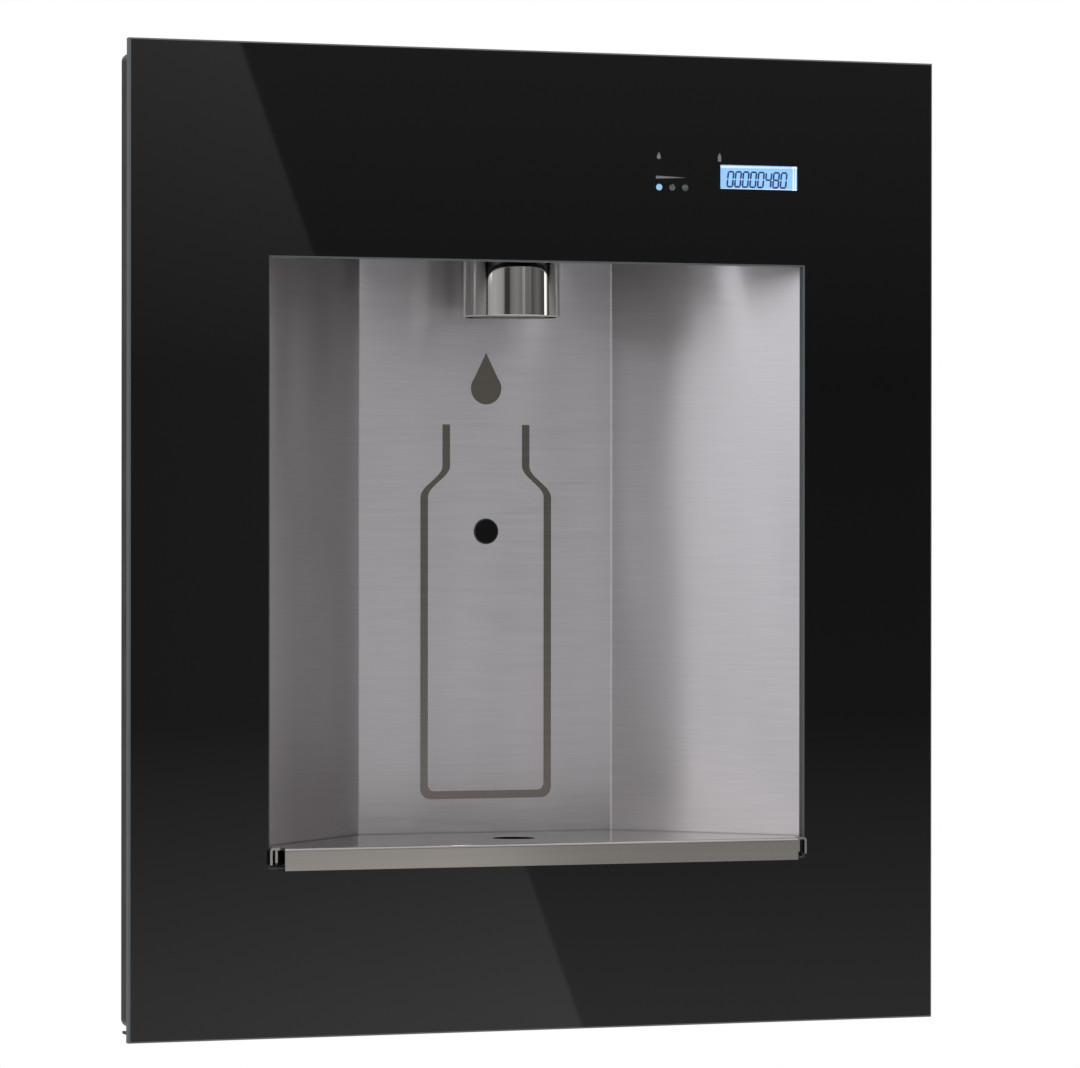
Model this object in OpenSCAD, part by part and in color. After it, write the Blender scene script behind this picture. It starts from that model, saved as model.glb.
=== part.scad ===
// Wall-mounted bottle filling station: glass front, steel alcove, chrome nozzle and pull-out drip tray
// The origin is on the wall's face, behind the centre of the glass: X right, Y into the wall, Z up

/* [Glass front] */
// Width of the glass
glass_w = 425; // [415:1:445]
// Height of the glass
glass_h = 489; // [486:1:520]
// Thickness of the glass
glass_t = 5; // [4:0.5:6]
// Distance from the wall to the front of the glass
stand_off = 33.5; // [32:0.5:45]
// Ground chamfer on the front edges of the glass
glass_chamfer = 0.8; // [0.4:0.1:1.2]
// Width of the opening
opening_w = 282; // [270:1:286]
// Height of the glass above the opening
head_band = 105.5; // [103.5:0.5:114.5]
// Height of the glass below the opening
foot_band = 84; // [82.5:0.5:89.5]

/* [Trim frame] */
// Overhang of the glass past the frame
trim_inset = 5; // [3:0.5:7]
// Sheet of the frame
trim_t = 1.5; // [1:0.1:2]
// Corner radius of the frame
trim_r = 4; // [2:0.5:8]
// Hole for a wall screw, radius
wall_hole_r = 2.75; // [2:0.25:3.25]
// Distance of the wall screws in from the frame's sides
wall_screw_inset = 12.5; // [10.5:0.5:13.5]
// Spacing of the wall screws up and down
wall_span_z = 320; // [200:1:360]

/* [Wall box] */
// Distance of the box's sides in from the frame's sides
box_side = 26.5; // [25.5:0.5:28.5]
// Depth of the box behind the wall's face
box_d = 88; // [84:0.5:100]
// Sheet of the box
box_t = 1.2; // [0.8:0.1:1.5]

/* [Alcove] */
// Depth of the back wall behind the front of the glass
alcove_depth = 86; // [80:0.5:87]
// Width of the back wall
back_w = 137.4; // [120:0.2:150]
// Stainless sheet of the alcove
alcove_t = 1.2; // [0.8:0.1:1.5]
// Hidden rise from the opening's top to the ceiling
ceiling_rise = 13; // [12:0.5:14]
// Stroke of the bottle mark
mark_stroke = 4; // [2:0.5:6]

/* [Nozzle] */
// Radius of the chrome shroud
nozzle_r = 24.7; // [23.5:0.1:27]
// Reach of the nozzle below the top of the opening
nozzle_reach = 26; // [21:1:39]
// Axis of the nozzle, behind the front of the glass
nozzle_depth = 46.7; // [44:0.1:50]
// Radius of a hole in the flow straightener
jet_r = 1.4; // [0.8:0.1:1.6]

/* [Sensor] */
// Radius of the sensor's barrel
sensor_r = 6.5; // [5:0.1:8]
// Height of the sensor above the centre
sensor_z = 4.4; // [-20:0.2:30]

/* [Display] */
// Width of the counter's window
lcd_w = 41.8; // [36:0.2:44]
// Height of the counter's window
lcd_h = 12.1; // [10:0.1:13]
// Middle of the counter's window, in from the glass's right edge
lcd_inset = 95.9; // [92.5:0.2:100.5]
// Radius of a status light
light_r = 1.65; // [1:0.05:2]

/* [Drip tray] */
// Gap at each end of the tray's front bar
bar_gap = 5.5; // [5:0.5:16]
// Height of the tray's front bar
bar_h = 11.2; // [9:0.1:14]
// Reach of the bar in front of the glass
bar_reach = 7.2; // [6:0.1:10]
// Steel sheet of the tray
tray_t = 1.2; // [0.8:0.1:1.5]
// Radius of the drain hole
drain_r = 10.75; // [8:0.25:11]
// Axis of the drain, behind the front of the glass
drain_depth = 42.2; // [40:0.1:46]

/* [Water] */
// Radius of the filter cartridge
filter_r = 30; // [26:0.5:30.5]
// Room between the waste's nut and the cartridge
filter_room = 11; // [9:1:27]
// Outer radius of the water tubes
tube_r = 4; // [3:0.1:4.5]
// Inlet thread, radius over the crests
inlet_r = 10.48; // [8:0.01:10.6]
// Waste pipe, outer radius
waste_r = 15.875; // [12:0.005:16]
// Lift of the solenoid's plunger
plunger_lift = 3; // [2:0.1:4]

/* [Hidden] */

// Overrun of every cut past the face it opens
cut = 1;
// Running fit of a shaft in its bore
run_fit = 0.05;
// Loose fit of a fixed piece in its hole
loose_fit = 0.2;
// Gap between pieces that part when the panel or the tray comes off
part_gap = 0.3;

// Glass and frame
opening_top = glass_h / 2 - head_band;
opening_bottom = glass_h / 2 - foot_band;
front_y = -stand_off;
glass_back = front_y + glass_t;
trim_w = glass_w - 2 * trim_inset;
trim_h = glass_h - 2 * trim_inset;
trim_front = glass_back + part_gap;
trim_in_w = trim_w - 2 * trim_t;
trim_in_h = trim_h - 2 * trim_t;
wall_span_x = trim_w - 2 * wall_screw_inset;
wall_y = 0;

// Wall box, inside the frame on all sides
box_w = trim_w - 2 * box_side;
box_margin = 8.5;
box_fit = 0.5;
box_h = trim_h - 2 * box_margin;
box_flange = 8;
box_front = -trim_t - box_t;
box_in_x = box_w / 2 - box_t;
box_in_z = box_h / 2 - box_t;
box_in_y = box_d - box_t;

// Panel carrier with its bottom flange
carrier_t = 1.5;
carrier_back = glass_back + carrier_t;
carrier_fit = 0.5;
carrier_margin = 2;
carrier_w = trim_in_w - 2 * carrier_fit;
carrier_h = trim_in_h - 2 * carrier_fit;
tab_gap = 1.9;
tab_t = 1.3;
tab_fit = 0.5;
tab_top = -trim_h / 2 - tab_gap;
tab_w = trim_w - 2 * tab_fit;
tab_back = wall_y - tab_fit;

// Alcove: the sides flare from the back wall to the front flange
gasket_t = 0.7;
flange_front = carrier_back + gasket_t + part_gap;
flange_back = flange_front + alcove_t;
flange_w = 11;
back_y = front_y + alcove_depth;
half_back = back_w / 2;
mouth_margin = 1.2;
half_front = opening_w / 2 + mouth_margin;
liner_bend = 1.5;
bend_steps = 4;
flare = (half_front - half_back) / (back_y - flange_front);
ceiling_z = opening_top + ceiling_rise;
floor_z = -opening_bottom;
lid_lap = 3;
function side_x(y, grow = 0) = half_back + (back_y - y) * flare + grow * sqrt(1 + flare * flare);

// Cross rails behind the alcove's flanges
rail_h = 14;
rail_gap = 0.3;
rail_t = 1.5;
rail_lip = 12.5;
rail_back = flange_back + rail_t;
rail_tab = 15;
top_rail_z = ceiling_z + alcove_t + rail_gap;
bottom_rail_z = floor_z - alcove_t - rail_gap - rail_h;

// Studs and catches that hold the panel
stud_x = (half_front + flange_w + trim_in_w / 2) / 2;
stud_r = 3;
stud_l = 9;
catch_r = 4.4;
catch_flange_r = 7;
catch_l = 10;
stud_z = [top_rail_z + rail_h / 2, bottom_rail_z + rail_h / 2];

// Screws
screw_r = 1.5;
screw_head_r = 3.2;
screw_head_t = 1.8;
screw_end = 0.3;
frame_screw_share = 0.78;
frame_screw_z = [for (k = [-1, 0, 1]) k * frame_screw_share * box_h / 2];
security_inset = 57.5;
security_x = trim_w / 2 - security_inset;
security_y = -14;
security_r = 2;
security_head_r = 4;
security_head_t = 1.4;
security_l = 8;
slot_w = 4.6;

// Marks on the back wall
mark_t = 0.2;
mark_ref_h = 299.5;
mark_ref_mid = -10.75;
mark_scale = (opening_top + opening_bottom) / mark_ref_h;
mark_mid = (opening_top - opening_bottom) / 2;
drop_r = 8.25;
drop_z = 78;
drop_tip = 18.2;
drop_join_share = 0.98;
bottle_neck = 23.6;
bottle_half = 35.5;
bottle_top = 59.3;
shoulder_top = 38;
shoulder_bottom = 22;
bottle_base = -133;
bottle_r = 5.5;
shoulder_steps = 12;

// Nozzle, on the ceiling
nozzle_bottom = opening_top - nozzle_reach;
nozzle_y = front_y + nozzle_depth;
shroud_t = 1.5;
shroud_taper = 0.3;
shroud_lip = 0.7;
nozzle_body_r = nozzle_r - shroud_taper - shroud_t - loose_fit;
nozzle_recess = 2.5;
straightener_r = 20;
straightener_t = 5.5;
jet_pitch = 5.6;
jet_rings = 3;
stem_r = 9;
stem_top = 28;
nozzle_gasket_t = 2;
nozzle_gasket_r = 15;
nozzle_nut_t = 7;
nozzle_nut_r = 16;
ceiling_top = ceiling_z + alcove_t;

// Water line across the top, and its fittings
supply_rise = 36;
supply_z = ceiling_z + supply_rise;
supply_y = 60;
socket_r = 7;
socket_l = 10;
socket_reach = 8;
tube_bore = 1.2;
bend_r = 16;
elbow_r = 11;
elbow_top = 11;

// Sensor in the back wall
sensor_proud = 0.6;
lens_r = 5.8;
lens_t = 3;
lens_sink = 0.2;
sensor_body_r = 9;
sensor_nut_r = 11;
sensor_nut_t = 4;
sensor_shoulder = 2;
sensor_gap = 3;
sensor_back = box_in_y - sensor_gap;
cable_r = 1.8;
gland_r = 3;
gland_l = 3;
cable_y = 78;

// Solenoid valve on the water line
riser_inset = 19.8;
riser_x = box_in_x - riser_inset;
valve_run = 60;
valve_x = riser_x - valve_run;
valve_half = 24;
valve_bore_r = 9;
valve_block = [30, 26, 22];
guide_r = 5;
guide_top = 37.5;
guide_cap = 1.5;
plunger_r = 4;
plunger_l = 14;
plunger_seat = 12;
coil_w = 26;
coil_h = 24;
coil_tab = 4;
coil_tab_h = 8;
spring_wire = 0.5;
spring_r = 2.9;
spring_turns = 5;
spring_steps = 12;
spring_sides = 6;

// Filter in the lower compartment
filter_y = 15;
filter_drop = 1.8;
filter_z = (floor_z - box_in_z) / 2 - filter_drop;
filter_dome = 12;
grip_l = 10;
grip_w = 8;
neck_r = 18;
neck_l = 16;
lug_r = 22;
lug_l = 4;
lug_w = 10;
head_r = 32;
head_l = 34;
head_mouth = 5;
head_gap = 7.8;
head_left = box_in_x - head_gap - head_l;
port_y = 66;
port_z = 27;
manifold = [28, 59, 17];
manifold_top = 33;
bracket_t = 1.5;
bracket_w = 50;
seal_r = 1.2;
seal_places = [8.5, 12];

// Isolation valve and inlet
inlet_inset = 29.8;
inlet_x = inlet_inset - box_in_x;
inlet_y = 66;
stop_r = 13;
stop_base = 7.8;
stop_h = 36;
stop_ball_r = 15;
stop_z = 26;
gland_boss_r = 7;
gland_boss_l = 18;
lever_r = 3;
lever_hub_r = 8;
lever_hub_t = 7;
lever_l = 31;
lever_w = 9;
lever_t = 3;
union_hex_r = 15;
inlet_drop = 20;
locknut_t = 5;
locknut_r = 17;
relief_w = 1.2;
relief_d = 0.8;

// Tubes and clips
inlet_run_drop = 9.5;
inlet_run_z = floor_z - inlet_run_drop;
clip_z = [-60, 80];
clip_r = 7;
clip_h = 8;

// Control box, supply and display
control_w = 120;
control_gap = 8;
control_x = [control_gap - box_in_x, control_gap - box_in_x + control_w];
control_y = 46;
control_top = 4.8;
control_z = [14, box_in_z - ceiling_z - control_top];
control_t = 2;
boss_r = 3;
boss_inset = 8;
board_t = 1.6;
board_y = 64;
relay_shares = [0.12, 0.3, 0.3, 0.7];
chip_shares = [0.42, 0.58, 0.4, 0.62];
terminal_shares = [0.68, 0.8, 0.25, 0.78];
relay_h = 10;
chip_h = 3;
terminal_h = 8;
psu_gap = 42;
psu_x = [inlet_x + psu_gap, -28];
psu_y = [2, 46];
psu_h = 34;
fin_t = 2;
fin_pitch = 5;
fin_h = 7;
grommet_x = -70;
grommet_y = 70;
grommet_r = 4.5;
grommet_body_r = 8;
grommet_flange_r = 10;
grommet_t = 2;
display_rise = 31.8;
display_z = ceiling_z + display_rise;
lcd_x = glass_w / 2 - lcd_inset;
display_reach = [62.6, 29.4];
display_x = [lcd_x - display_reach[0], lcd_x + display_reach[1]];
display_h = 26;
lcd_frame = 2.6;
lcd_gap = 0.3;
light_gap = 47;
light_pitch = 7;
light_x = [for (k = [-1, 0, 1]) lcd_x - light_gap + k * light_pitch];
light_drop = 6;
light_z = display_z - light_drop;
display_depth = 13.9;
display_board_y = front_y + display_depth;
header_h = 10;
ribbon_t = 0.9;
ribbon_r = 6;
ribbon_inset = 22.2;
ribbon_x = control_x[1] - ribbon_inset;
bracket_plate = 1.2;
stand_l = 6;
stand_r = 2.5;

// Drip tray
deck_gap = 1.7;
deck_rise = 9.9;
deck_z = floor_z + deck_rise;
bar_y = front_y - bar_reach;
bar_l = opening_w - 2 * bar_gap;
bar_r = 1.6;
hem = 4;
crease_x = 34.5;
crease_d = 0.35;
rim_w = 5;
rim_d = 0.4;
drain_y = front_y + drain_depth;
base_gap = 1.5;
base_z = floor_z + base_gap;
base_inset = 1.5;
base_step = 0.5;
base_front = front_y + base_step;
collar_r = 2.2;
wing_reach = 3;
wing_lap = 0.9;
wing_w = 5;
wing_h = 8.5;
wing_r = 1.8;
wing_step = 1;
web_w = 1.25;
web_inset = 3.1;
pad_r = 5;
pad_t = base_z - floor_z - part_gap;
pad_inset = 14;
pad_y = [-15, 38];

// Waste under the basin floor
waste_flange_r = 21;
waste_flange_t = 1;
waste_tail_r = 13;
waste_tail_bore = 11;
waste_tail = 13;
waste_gasket_t = 2;
waste_gasket_r = 23;
waste_nut_t = 7;
waste_nut_r = 23;
filter_left = waste_nut_r + filter_room;
waste_wall = 2.6;
waste_bend = 20;
waste_back_y = 60;
waste_drop = 20;
waste_hole_gap = 2.5;
strainer_w = 1.6;

// Solid from a flat shape in X and Z, between two places on Y
module slab_y(y0, y1) {
    translate([0, y1, 0]) rotate([90, 0, 0]) linear_extrude(y1 - y0) children();
}

// Solid from a flat shape in X and Y, between two heights
module slab_z(z0, z1) {
    translate([0, 0, z0]) linear_extrude(z1 - z0) children();
}

// Solid from a flat shape in Y and Z, between two places on X
module slab_x(x0, x1) {
    translate([x0, 0, 0]) rotate([90, 0, 90]) linear_extrude(x1 - x0) children();
}

// Block between two corners
module block(a, b) {
    translate(a) cube(b - a);
}

// Rods along each axis, centred on a point of the other two
module rod_x(r, x0, x1, y, z) {
    translate([x0, y, z]) rotate([0, 90, 0]) cylinder(r = r, h = x1 - x0, $fn = 48);
}

module rod_y(r, x, y0, y1, z) {
    translate([x, y1, z]) rotate([90, 0, 0]) cylinder(r = r, h = y1 - y0, $fn = 48);
}

module rod_z(r, x, y, z0, z1) {
    translate([x, y, z0]) cylinder(r = r, h = z1 - z0, $fn = 48);
}

// Hexagon nut along Z
module hex_z(r, x, y, z0, z1) {
    translate([x, y, z0]) cylinder(r = r, h = z1 - z0, $fn = 6);
}

// Rectangle with round corners
module round_rect(w, h, r) {
    square([w - 2 * r, h], center = true);
    square([w, h - 2 * r], center = true);
    for (x = [-1, 1], z = [-1, 1])
        translate([x * (w / 2 - r), z * (h / 2 - r)]) circle(r, $fn = 32);
}

module ring(r_out, r_in) {
    if (r_in > 0) difference() {
        circle(r_out, $fn = 48);
        circle(r_in, $fn = 48);
    }
    else circle(r_out, $fn = 48);
}

// Straight tubes and quarter bends along a path of points whose runs are square to each other
module pipe(points, bend, r_out, r_in) {
    last = len(points) - 1;
    for (i = [0 : last - 1]) {
        run = points[i + 1] - points[i];
        dir = run / norm(run);
        start = i == 0 ? 0 : bend;
        stop = i == last - 1 ? 0 : bend;
        translate(points[i] + start * dir)
            rotate([0, acos(dir.z), atan2(dir.y, dir.x)])
                linear_extrude(norm(run) - start - stop) ring(r_out, r_in);
    }
    for (i = [1 : 1 : last - 1]) {
        a = (points[i] - points[i - 1]) / norm(points[i] - points[i - 1]);
        b = (points[i + 1] - points[i]) / norm(points[i + 1] - points[i]);
        c = cross(a, b);
        o = points[i] + (b - a) * bend;
        multmatrix([
            [-b.x, a.x, c.x, o.x], [-b.y, a.y, c.y, o.y], [-b.z, a.z, c.z, o.z], [0, 0, 0, 1],
        ]) rotate_extrude(angle = 90, $fn = 48) translate([bend, 0]) ring(r_out, r_in);
    }
}

// Outline of the opening, grown by a margin
module opening_shape(grow) {
    translate([-opening_w / 2 - grow, -opening_bottom - grow])
        square([opening_w + 2 * grow, opening_top + opening_bottom + 2 * grow]);
}

// Mouth of the alcove, grown by a margin
module mouth_shape(grow) {
    translate([-half_front - grow, floor_z - grow])
        square([2 * (half_front + grow), ceiling_z - floor_z + 2 * grow]);
}

// Windows for the counter and the status lights
module window_shapes(shrink) {
    translate([lcd_x, display_z])
        square([lcd_w - 2 * shrink, lcd_h - 2 * shrink], center = true);
    for (x = light_x) translate([x, light_z]) circle(light_r - shrink, $fn = 32);
}

// Plan of the alcove, grown past its inner faces
module alcove_plan(grow, y0, y1) {
    polygon([
        [-side_x(y0, grow), y0], [side_x(y0, grow), y0],
        [side_x(y1, grow), y1], [-side_x(y1, grow), y1],
    ]);
}

// Points round one of the liner's bends, from the back wall to the side
function bend_points(grow) = let (
    tip = back_y - liner_bend,
    x = side_x(tip, -liner_bend),
    last = atan(flare)
) [for (i = [0 : bend_steps]) let (a = 90 - (90 - last) * i / bend_steps)
    [x + (liner_bend + grow) * cos(a), tip + (liner_bend + grow) * sin(a)]];

// Plan of the bent liner, grown past its inner faces
module liner_plan(grow, y0) {
    right = bend_points(grow);
    polygon(concat(
        right, [[side_x(y0, grow), y0], [-side_x(y0, grow), y0]],
        [for (i = [bend_steps : -1 : 0]) [-right[i].x, right[i].y]]
    ));
}

// Section of the glass across one direction, from the back face to the chamfered front edges
function glass_section(half) = [
    [glass_back, -half], [front_y + glass_chamfer, -half], [front_y, glass_chamfer - half],
    [front_y, half - glass_chamfer], [front_y + glass_chamfer, half], [glass_back, half],
];

// Section of the opening's chamfer across one direction, wider towards the front
function mouth_section(low, high) = [
    [front_y + glass_chamfer, low], [front_y - cut, low - glass_chamfer - cut],
    [front_y - cut, high + glass_chamfer + cut], [front_y + glass_chamfer, high],
];

function swapped(points) = [for (p = points) [p.y, p.x]];

module glass_panel() {
    reach = glass_chamfer + cut;
    color("#101112") difference() {
        intersection() {
            slab_x(-glass_w / 2, glass_w / 2) polygon(glass_section(glass_h / 2));
            slab_z(-glass_h / 2, glass_h / 2) polygon(swapped(glass_section(glass_w / 2)));
        }
        slab_y(front_y - cut, glass_back + cut) {
            opening_shape(0);
            window_shapes(0);
        }
        intersection() {
            slab_x(-opening_w / 2 - reach, opening_w / 2 + reach)
                polygon(mouth_section(-opening_bottom, opening_top));
            slab_z(-opening_bottom - reach, opening_top + reach)
                polygon(swapped(mouth_section(-opening_w / 2, opening_w / 2)));
        }
    }
}

module clear_windows() {
    color("#a9cdf0") slab_y(front_y, glass_back) window_shapes(run_fit / 2);
}

// Sheet behind the glass; its lip passes in front of the frame and turns back under it
module panel_carrier() {
    color("#1b1c1e") difference() {
        union() {
            slab_y(glass_back, carrier_back) difference() {
                union() {
                    round_rect(carrier_w, carrier_h, trim_r - trim_t);
                    translate([-carrier_w / 2, tab_top - tab_t])
                        square([carrier_w, -carrier_h / 2 - tab_top + tab_t + trim_r]);
                }
                opening_shape(carrier_margin);
                translate([(display_x[0] + display_x[1]) / 2, display_z])
                    square([display_x[1] - display_x[0] + 4 * carrier_margin, display_h], center = true);
            }
            block([-tab_w / 2, glass_back, tab_top - tab_t], [tab_w / 2, tab_back, tab_top]);
        }
        for (x = [-security_x, security_x]) {
            rod_z(slot_w / 2, x, security_y, tab_top - tab_t - cut, tab_top + cut);
            block(
                [x - slot_w / 2, security_y, tab_top - tab_t - cut],
                [x + slot_w / 2, tab_back + cut, tab_top + cut]
            );
        }
    }
}

module panel_studs() {
    color("silver") for (x = [-stud_x, stud_x], z = stud_z) {
        rod_y(stud_r, x, carrier_back, carrier_back + stud_l - stud_r / 2, z);
        translate([x, carrier_back + stud_l, z]) rotate([90, 0, 0])
            cylinder(r1 = stud_r / 2, r2 = stud_r, h = stud_r / 2, $fn = 48);
    }
}

module opening_gasket() {
    color("#202020") slab_y(carrier_back, carrier_back + gasket_t) difference() {
        mouth_shape(flange_w);
        mouth_shape(carrier_margin);
    }
}

module panel_catches() {
    color("#d9d6c8") for (x = [-stud_x, stud_x], z = stud_z) difference() {
        union() {
            rod_y(catch_flange_r, x, flange_front, flange_back, z);
            rod_y(catch_r, x, flange_back, flange_front + catch_l, z);
        }
        rod_y(stud_r + part_gap, x, flange_front - cut, flange_front + catch_l + cut, z);
    }
}

// Black frame that stands on the wall, open at the front, with a flange that lies on the wall
module trim_frame() {
    color("#161718") difference() {
        union() {
            slab_y(trim_front, wall_y) difference() {
                round_rect(trim_w, trim_h, trim_r);
                round_rect(trim_in_w, trim_in_h, trim_r - trim_t);
            }
            slab_y(-trim_t, wall_y) difference() {
                round_rect(trim_w, trim_h, trim_r);
                square([box_w + 2 * box_fit, box_h + 2 * box_fit], center = true);
            }
        }
        block(
            [-trim_w / 2 - cut, trim_front - cut, -trim_h / 2 - cut],
            [trim_w / 2 + cut, carrier_back + part_gap, -trim_in_h / 2 + trim_r]
        );
        for (x = [-1, 1], z = [-1, 1])
            rod_y(wall_hole_r, x * wall_span_x / 2, -trim_t - cut, cut, z * wall_span_z / 2);
        for (x = [-1, 1], z = frame_screw_z)
            rod_y(screw_r + run_fit, x * (box_w + box_flange) / 2, -trim_t - cut, cut, z);
        for (x = [-security_x, security_x])
            rod_z(security_r + run_fit, x, security_y, -trim_h / 2 - cut, -trim_in_h / 2 + cut);
    }
}

// Galvanised back, top and sides, spot welded; the side flanges lie on the frame's flange
module wall_box() {
    inner = box_in_x - run_fit;
    color("#9aa0a3") {
        difference() {
            for (side = [-1, 1]) {
                translate([side * (box_w - box_t) / 2, (box_front + box_d) / 2, 0])
                    cube([box_t, box_d - box_front, box_h], center = true);
                translate([side * (box_w - box_t + box_flange) / 2, box_front + box_t / 2, 0])
                    cube([box_t + box_flange, box_t, box_h], center = true);
            }
            for (x = [-1, 1], z = frame_screw_z)
                rod_y(screw_r + run_fit, x * (box_w + box_flange) / 2, box_front - cut, cut, z);
        }
        block([-inner, box_front, box_in_z], [inner, box_d, box_h / 2]);
        block([-inner, box_in_y, run_fit - box_in_z], [inner, box_d, box_in_z - run_fit]);
    }
}

// Bottom of the box, with the holes for the waste, the inlet and the supply lead
module box_bottom() {
    inner = box_in_x - run_fit;
    color("#93999c") difference() {
        block([-inner, box_front, -box_h / 2], [inner, box_d, -box_in_z]);
        rod_z(waste_r + waste_hole_gap, 0, waste_back_y, -box_h / 2 - cut, -box_in_z + cut);
        rod_z(inlet_r + part_gap, inlet_x, inlet_y, -box_h / 2 - cut, -box_in_z + cut);
        rod_z(grommet_body_r, grommet_x, grommet_y, -box_h / 2 - cut, -box_in_z + cut);
    }
}

module frame_screws() {
    color("silver") for (x = [-1, 1], z = frame_screw_z) {
        rod_y(screw_r, x * (box_w + box_flange) / 2, box_front - screw_head_t, -screw_end, z);
        rod_y(screw_head_r, x * (box_w + box_flange) / 2, box_front - screw_head_t, box_front, z);
    }
}

// Security screws: their heads sit below the carrier's slotted flange
module security_screws() {
    head_top = tab_top - tab_t - part_gap;
    color("#2a2a2c") for (x = [-security_x, security_x]) {
        rod_z(security_r, x, security_y, head_top, head_top + security_l);
        rod_z(security_head_r, x, security_y, head_top - security_head_t, head_top);
    }
}

// One rail: an upright strip with a lip turned back, and end tabs on the frame's sides
module rail(z, lip_z) {
    difference() {
        union() {
            block([-trim_in_w / 2, flange_back, z], [trim_in_w / 2, rail_back, z + rail_h]);
            block([-box_in_x, flange_back, lip_z], [box_in_x, rail_back + rail_lip, lip_z + rail_t]);
            for (side = [-1, 1])
                translate([side * (trim_in_w - rail_t) / 2, flange_back + rail_tab / 2, z + rail_h / 2])
                    cube([rail_t, rail_tab, rail_h], center = true);
        }
        for (x = [-stud_x, stud_x])
            rod_y(catch_r + run_fit, x, flange_back - cut, rail_back + cut, z + rail_h / 2);
    }
}

module cross_rails() {
    color("#8d9396") {
        rail(top_rail_z, top_rail_z + rail_h - rail_t);
        rail(bottom_rail_z, bottom_rail_z);
    }
}

// Back and sides of the alcove in one bent sheet, with a flange down each front edge
module alcove_liner() {
    color("#b9b9ba") difference() {
        slab_z(floor_z, ceiling_z) {
            difference() {
                liner_plan(alcove_t, flange_front);
                liner_plan(0, flange_front - cut);
            }
            for (side = [-1, 1])
                translate([side * (half_front + flange_w / 2), flange_front + alcove_t / 2])
                    square([flange_w, alcove_t], center = true);
        }
        rod_y(sensor_r + run_fit, 0, back_y - cut, back_y + alcove_t + cut, sensor_z);
    }
}

module alcove_ceiling() {
    color("#b4b4b5") difference() {
        union() {
            slab_z(ceiling_z, ceiling_top)
                alcove_plan(alcove_t + lid_lap, flange_front, back_y + alcove_t);
            block(
                [-half_front - flange_w, flange_front, ceiling_z],
                [half_front + flange_w, flange_back, ceiling_z + flange_w]
            );
        }
        rod_z(stem_r + loose_fit, 0, nozzle_y, ceiling_z - cut, ceiling_top + cut);
    }
}

module basin_floor() {
    color("#aeaeaf") difference() {
        union() {
            slab_z(floor_z - alcove_t, floor_z)
                alcove_plan(alcove_t + lid_lap, flange_front, back_y + alcove_t);
            block(
                [-half_front - flange_w, flange_front, floor_z - flange_w],
                [half_front + flange_w, flange_back, floor_z]
            );
        }
        rod_z(waste_tail_r + loose_fit, 0, drain_y, floor_z - alcove_t - cut, floor_z + cut);
    }
}

// Half the bottle's outline as points, drawn in by the stroke
function bottle_side(inset) = concat(
    [[bottle_half - inset, shoulder_bottom]],
    [for (i = [1 : shoulder_steps]) let (t = i / shoulder_steps) [
        bottle_neck + (bottle_half - bottle_neck) * (1 + cos(180 * t)) / 2 - inset,
        shoulder_bottom + (shoulder_top - shoulder_bottom) * t,
    ]]
);

module bottle_shape(inset, top) {
    side = bottle_side(inset);
    foot = bottle_base + inset;
    mid = (foot + shoulder_bottom) / 2;
    polygon(concat(
        [[bottle_half - inset, mid]], side,
        [[bottle_neck - inset, top], [-bottle_neck + inset, top]],
        [for (i = [len(side) - 1 : -1 : 0]) [-side[i].x, side[i].y]],
        [[-bottle_half + inset, mid]]
    ));
    translate([0, mid])
        round_rect(2 * (bottle_half - inset), shoulder_bottom - foot, bottle_r - inset / 2);
}

// Water drop above the outline of a bottle, polished foil on the back wall
module fill_marks() {
    tangent = asin(drop_r / drop_tip);
    r = drop_join_share * drop_r;
    color("#77716a") slab_y(back_y - mark_t, back_y)
        translate([0, mark_mid]) scale(mark_scale) translate([0, -mark_ref_mid]) {
            translate([0, drop_z]) {
                circle(drop_r, $fn = 48);
                polygon([
                    [0, drop_tip],
                    [r * cos(tangent), r * sin(tangent)], [0, 0], [-r * cos(tangent), r * sin(tangent)],
                ]);
            }
            difference() {
                bottle_shape(0, bottle_top);
                bottle_shape(mark_stroke, bottle_top + cut);
            }
        }
}

// Chrome shroud, open below, a little narrower at the top
module nozzle_shroud() {
    h = ceiling_z - nozzle_bottom;
    color("#c9c7c4") translate([0, nozzle_y, nozzle_bottom]) rotate_extrude($fn = 96) {
        polygon([
            [nozzle_r - shroud_t, shroud_lip], [nozzle_r, shroud_lip],
            [nozzle_r - shroud_taper, h], [nozzle_r - shroud_taper - shroud_t, h],
        ]);
        translate([nozzle_r - shroud_t, 0]) square([shroud_t - shroud_lip, shroud_lip]);
        translate([nozzle_r - shroud_lip, shroud_lip]) circle(shroud_lip, $fn = 32);
    }
}

// Moulded body inside the shroud, with the threaded stem that passes the ceiling
module nozzle_body() {
    foot = nozzle_bottom + nozzle_recess;
    color("#4a4c4e") difference() {
        union() {
            rod_z(nozzle_body_r, 0, nozzle_y, foot, ceiling_z);
            rod_z(stem_r, 0, nozzle_y, ceiling_z - cut, ceiling_z + stem_top);
        }
        rod_z(straightener_r + run_fit, 0, nozzle_y, foot - cut, foot + straightener_t + run_fit);
        rod_z(stem_r / 2, 0, nozzle_y, foot, ceiling_z + stem_top + cut);
    }
}

// Insert whose rings of small holes calm the stream
module flow_straightener() {
    foot = nozzle_bottom + nozzle_recess;
    color("#d4d6d8") difference() {
        rod_z(straightener_r, 0, nozzle_y, foot, foot + straightener_t);
        rod_z(jet_r, 0, nozzle_y, foot - cut, foot + straightener_t + cut);
        for (n = [1 : jet_rings], i = [0 : 6 * n - 1])
            translate([0, nozzle_y, 0]) rotate([0, 0, 60 * i / n])
                rod_z(jet_r, n * jet_pitch, 0, foot - cut, foot + straightener_t + cut);
    }
}

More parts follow.
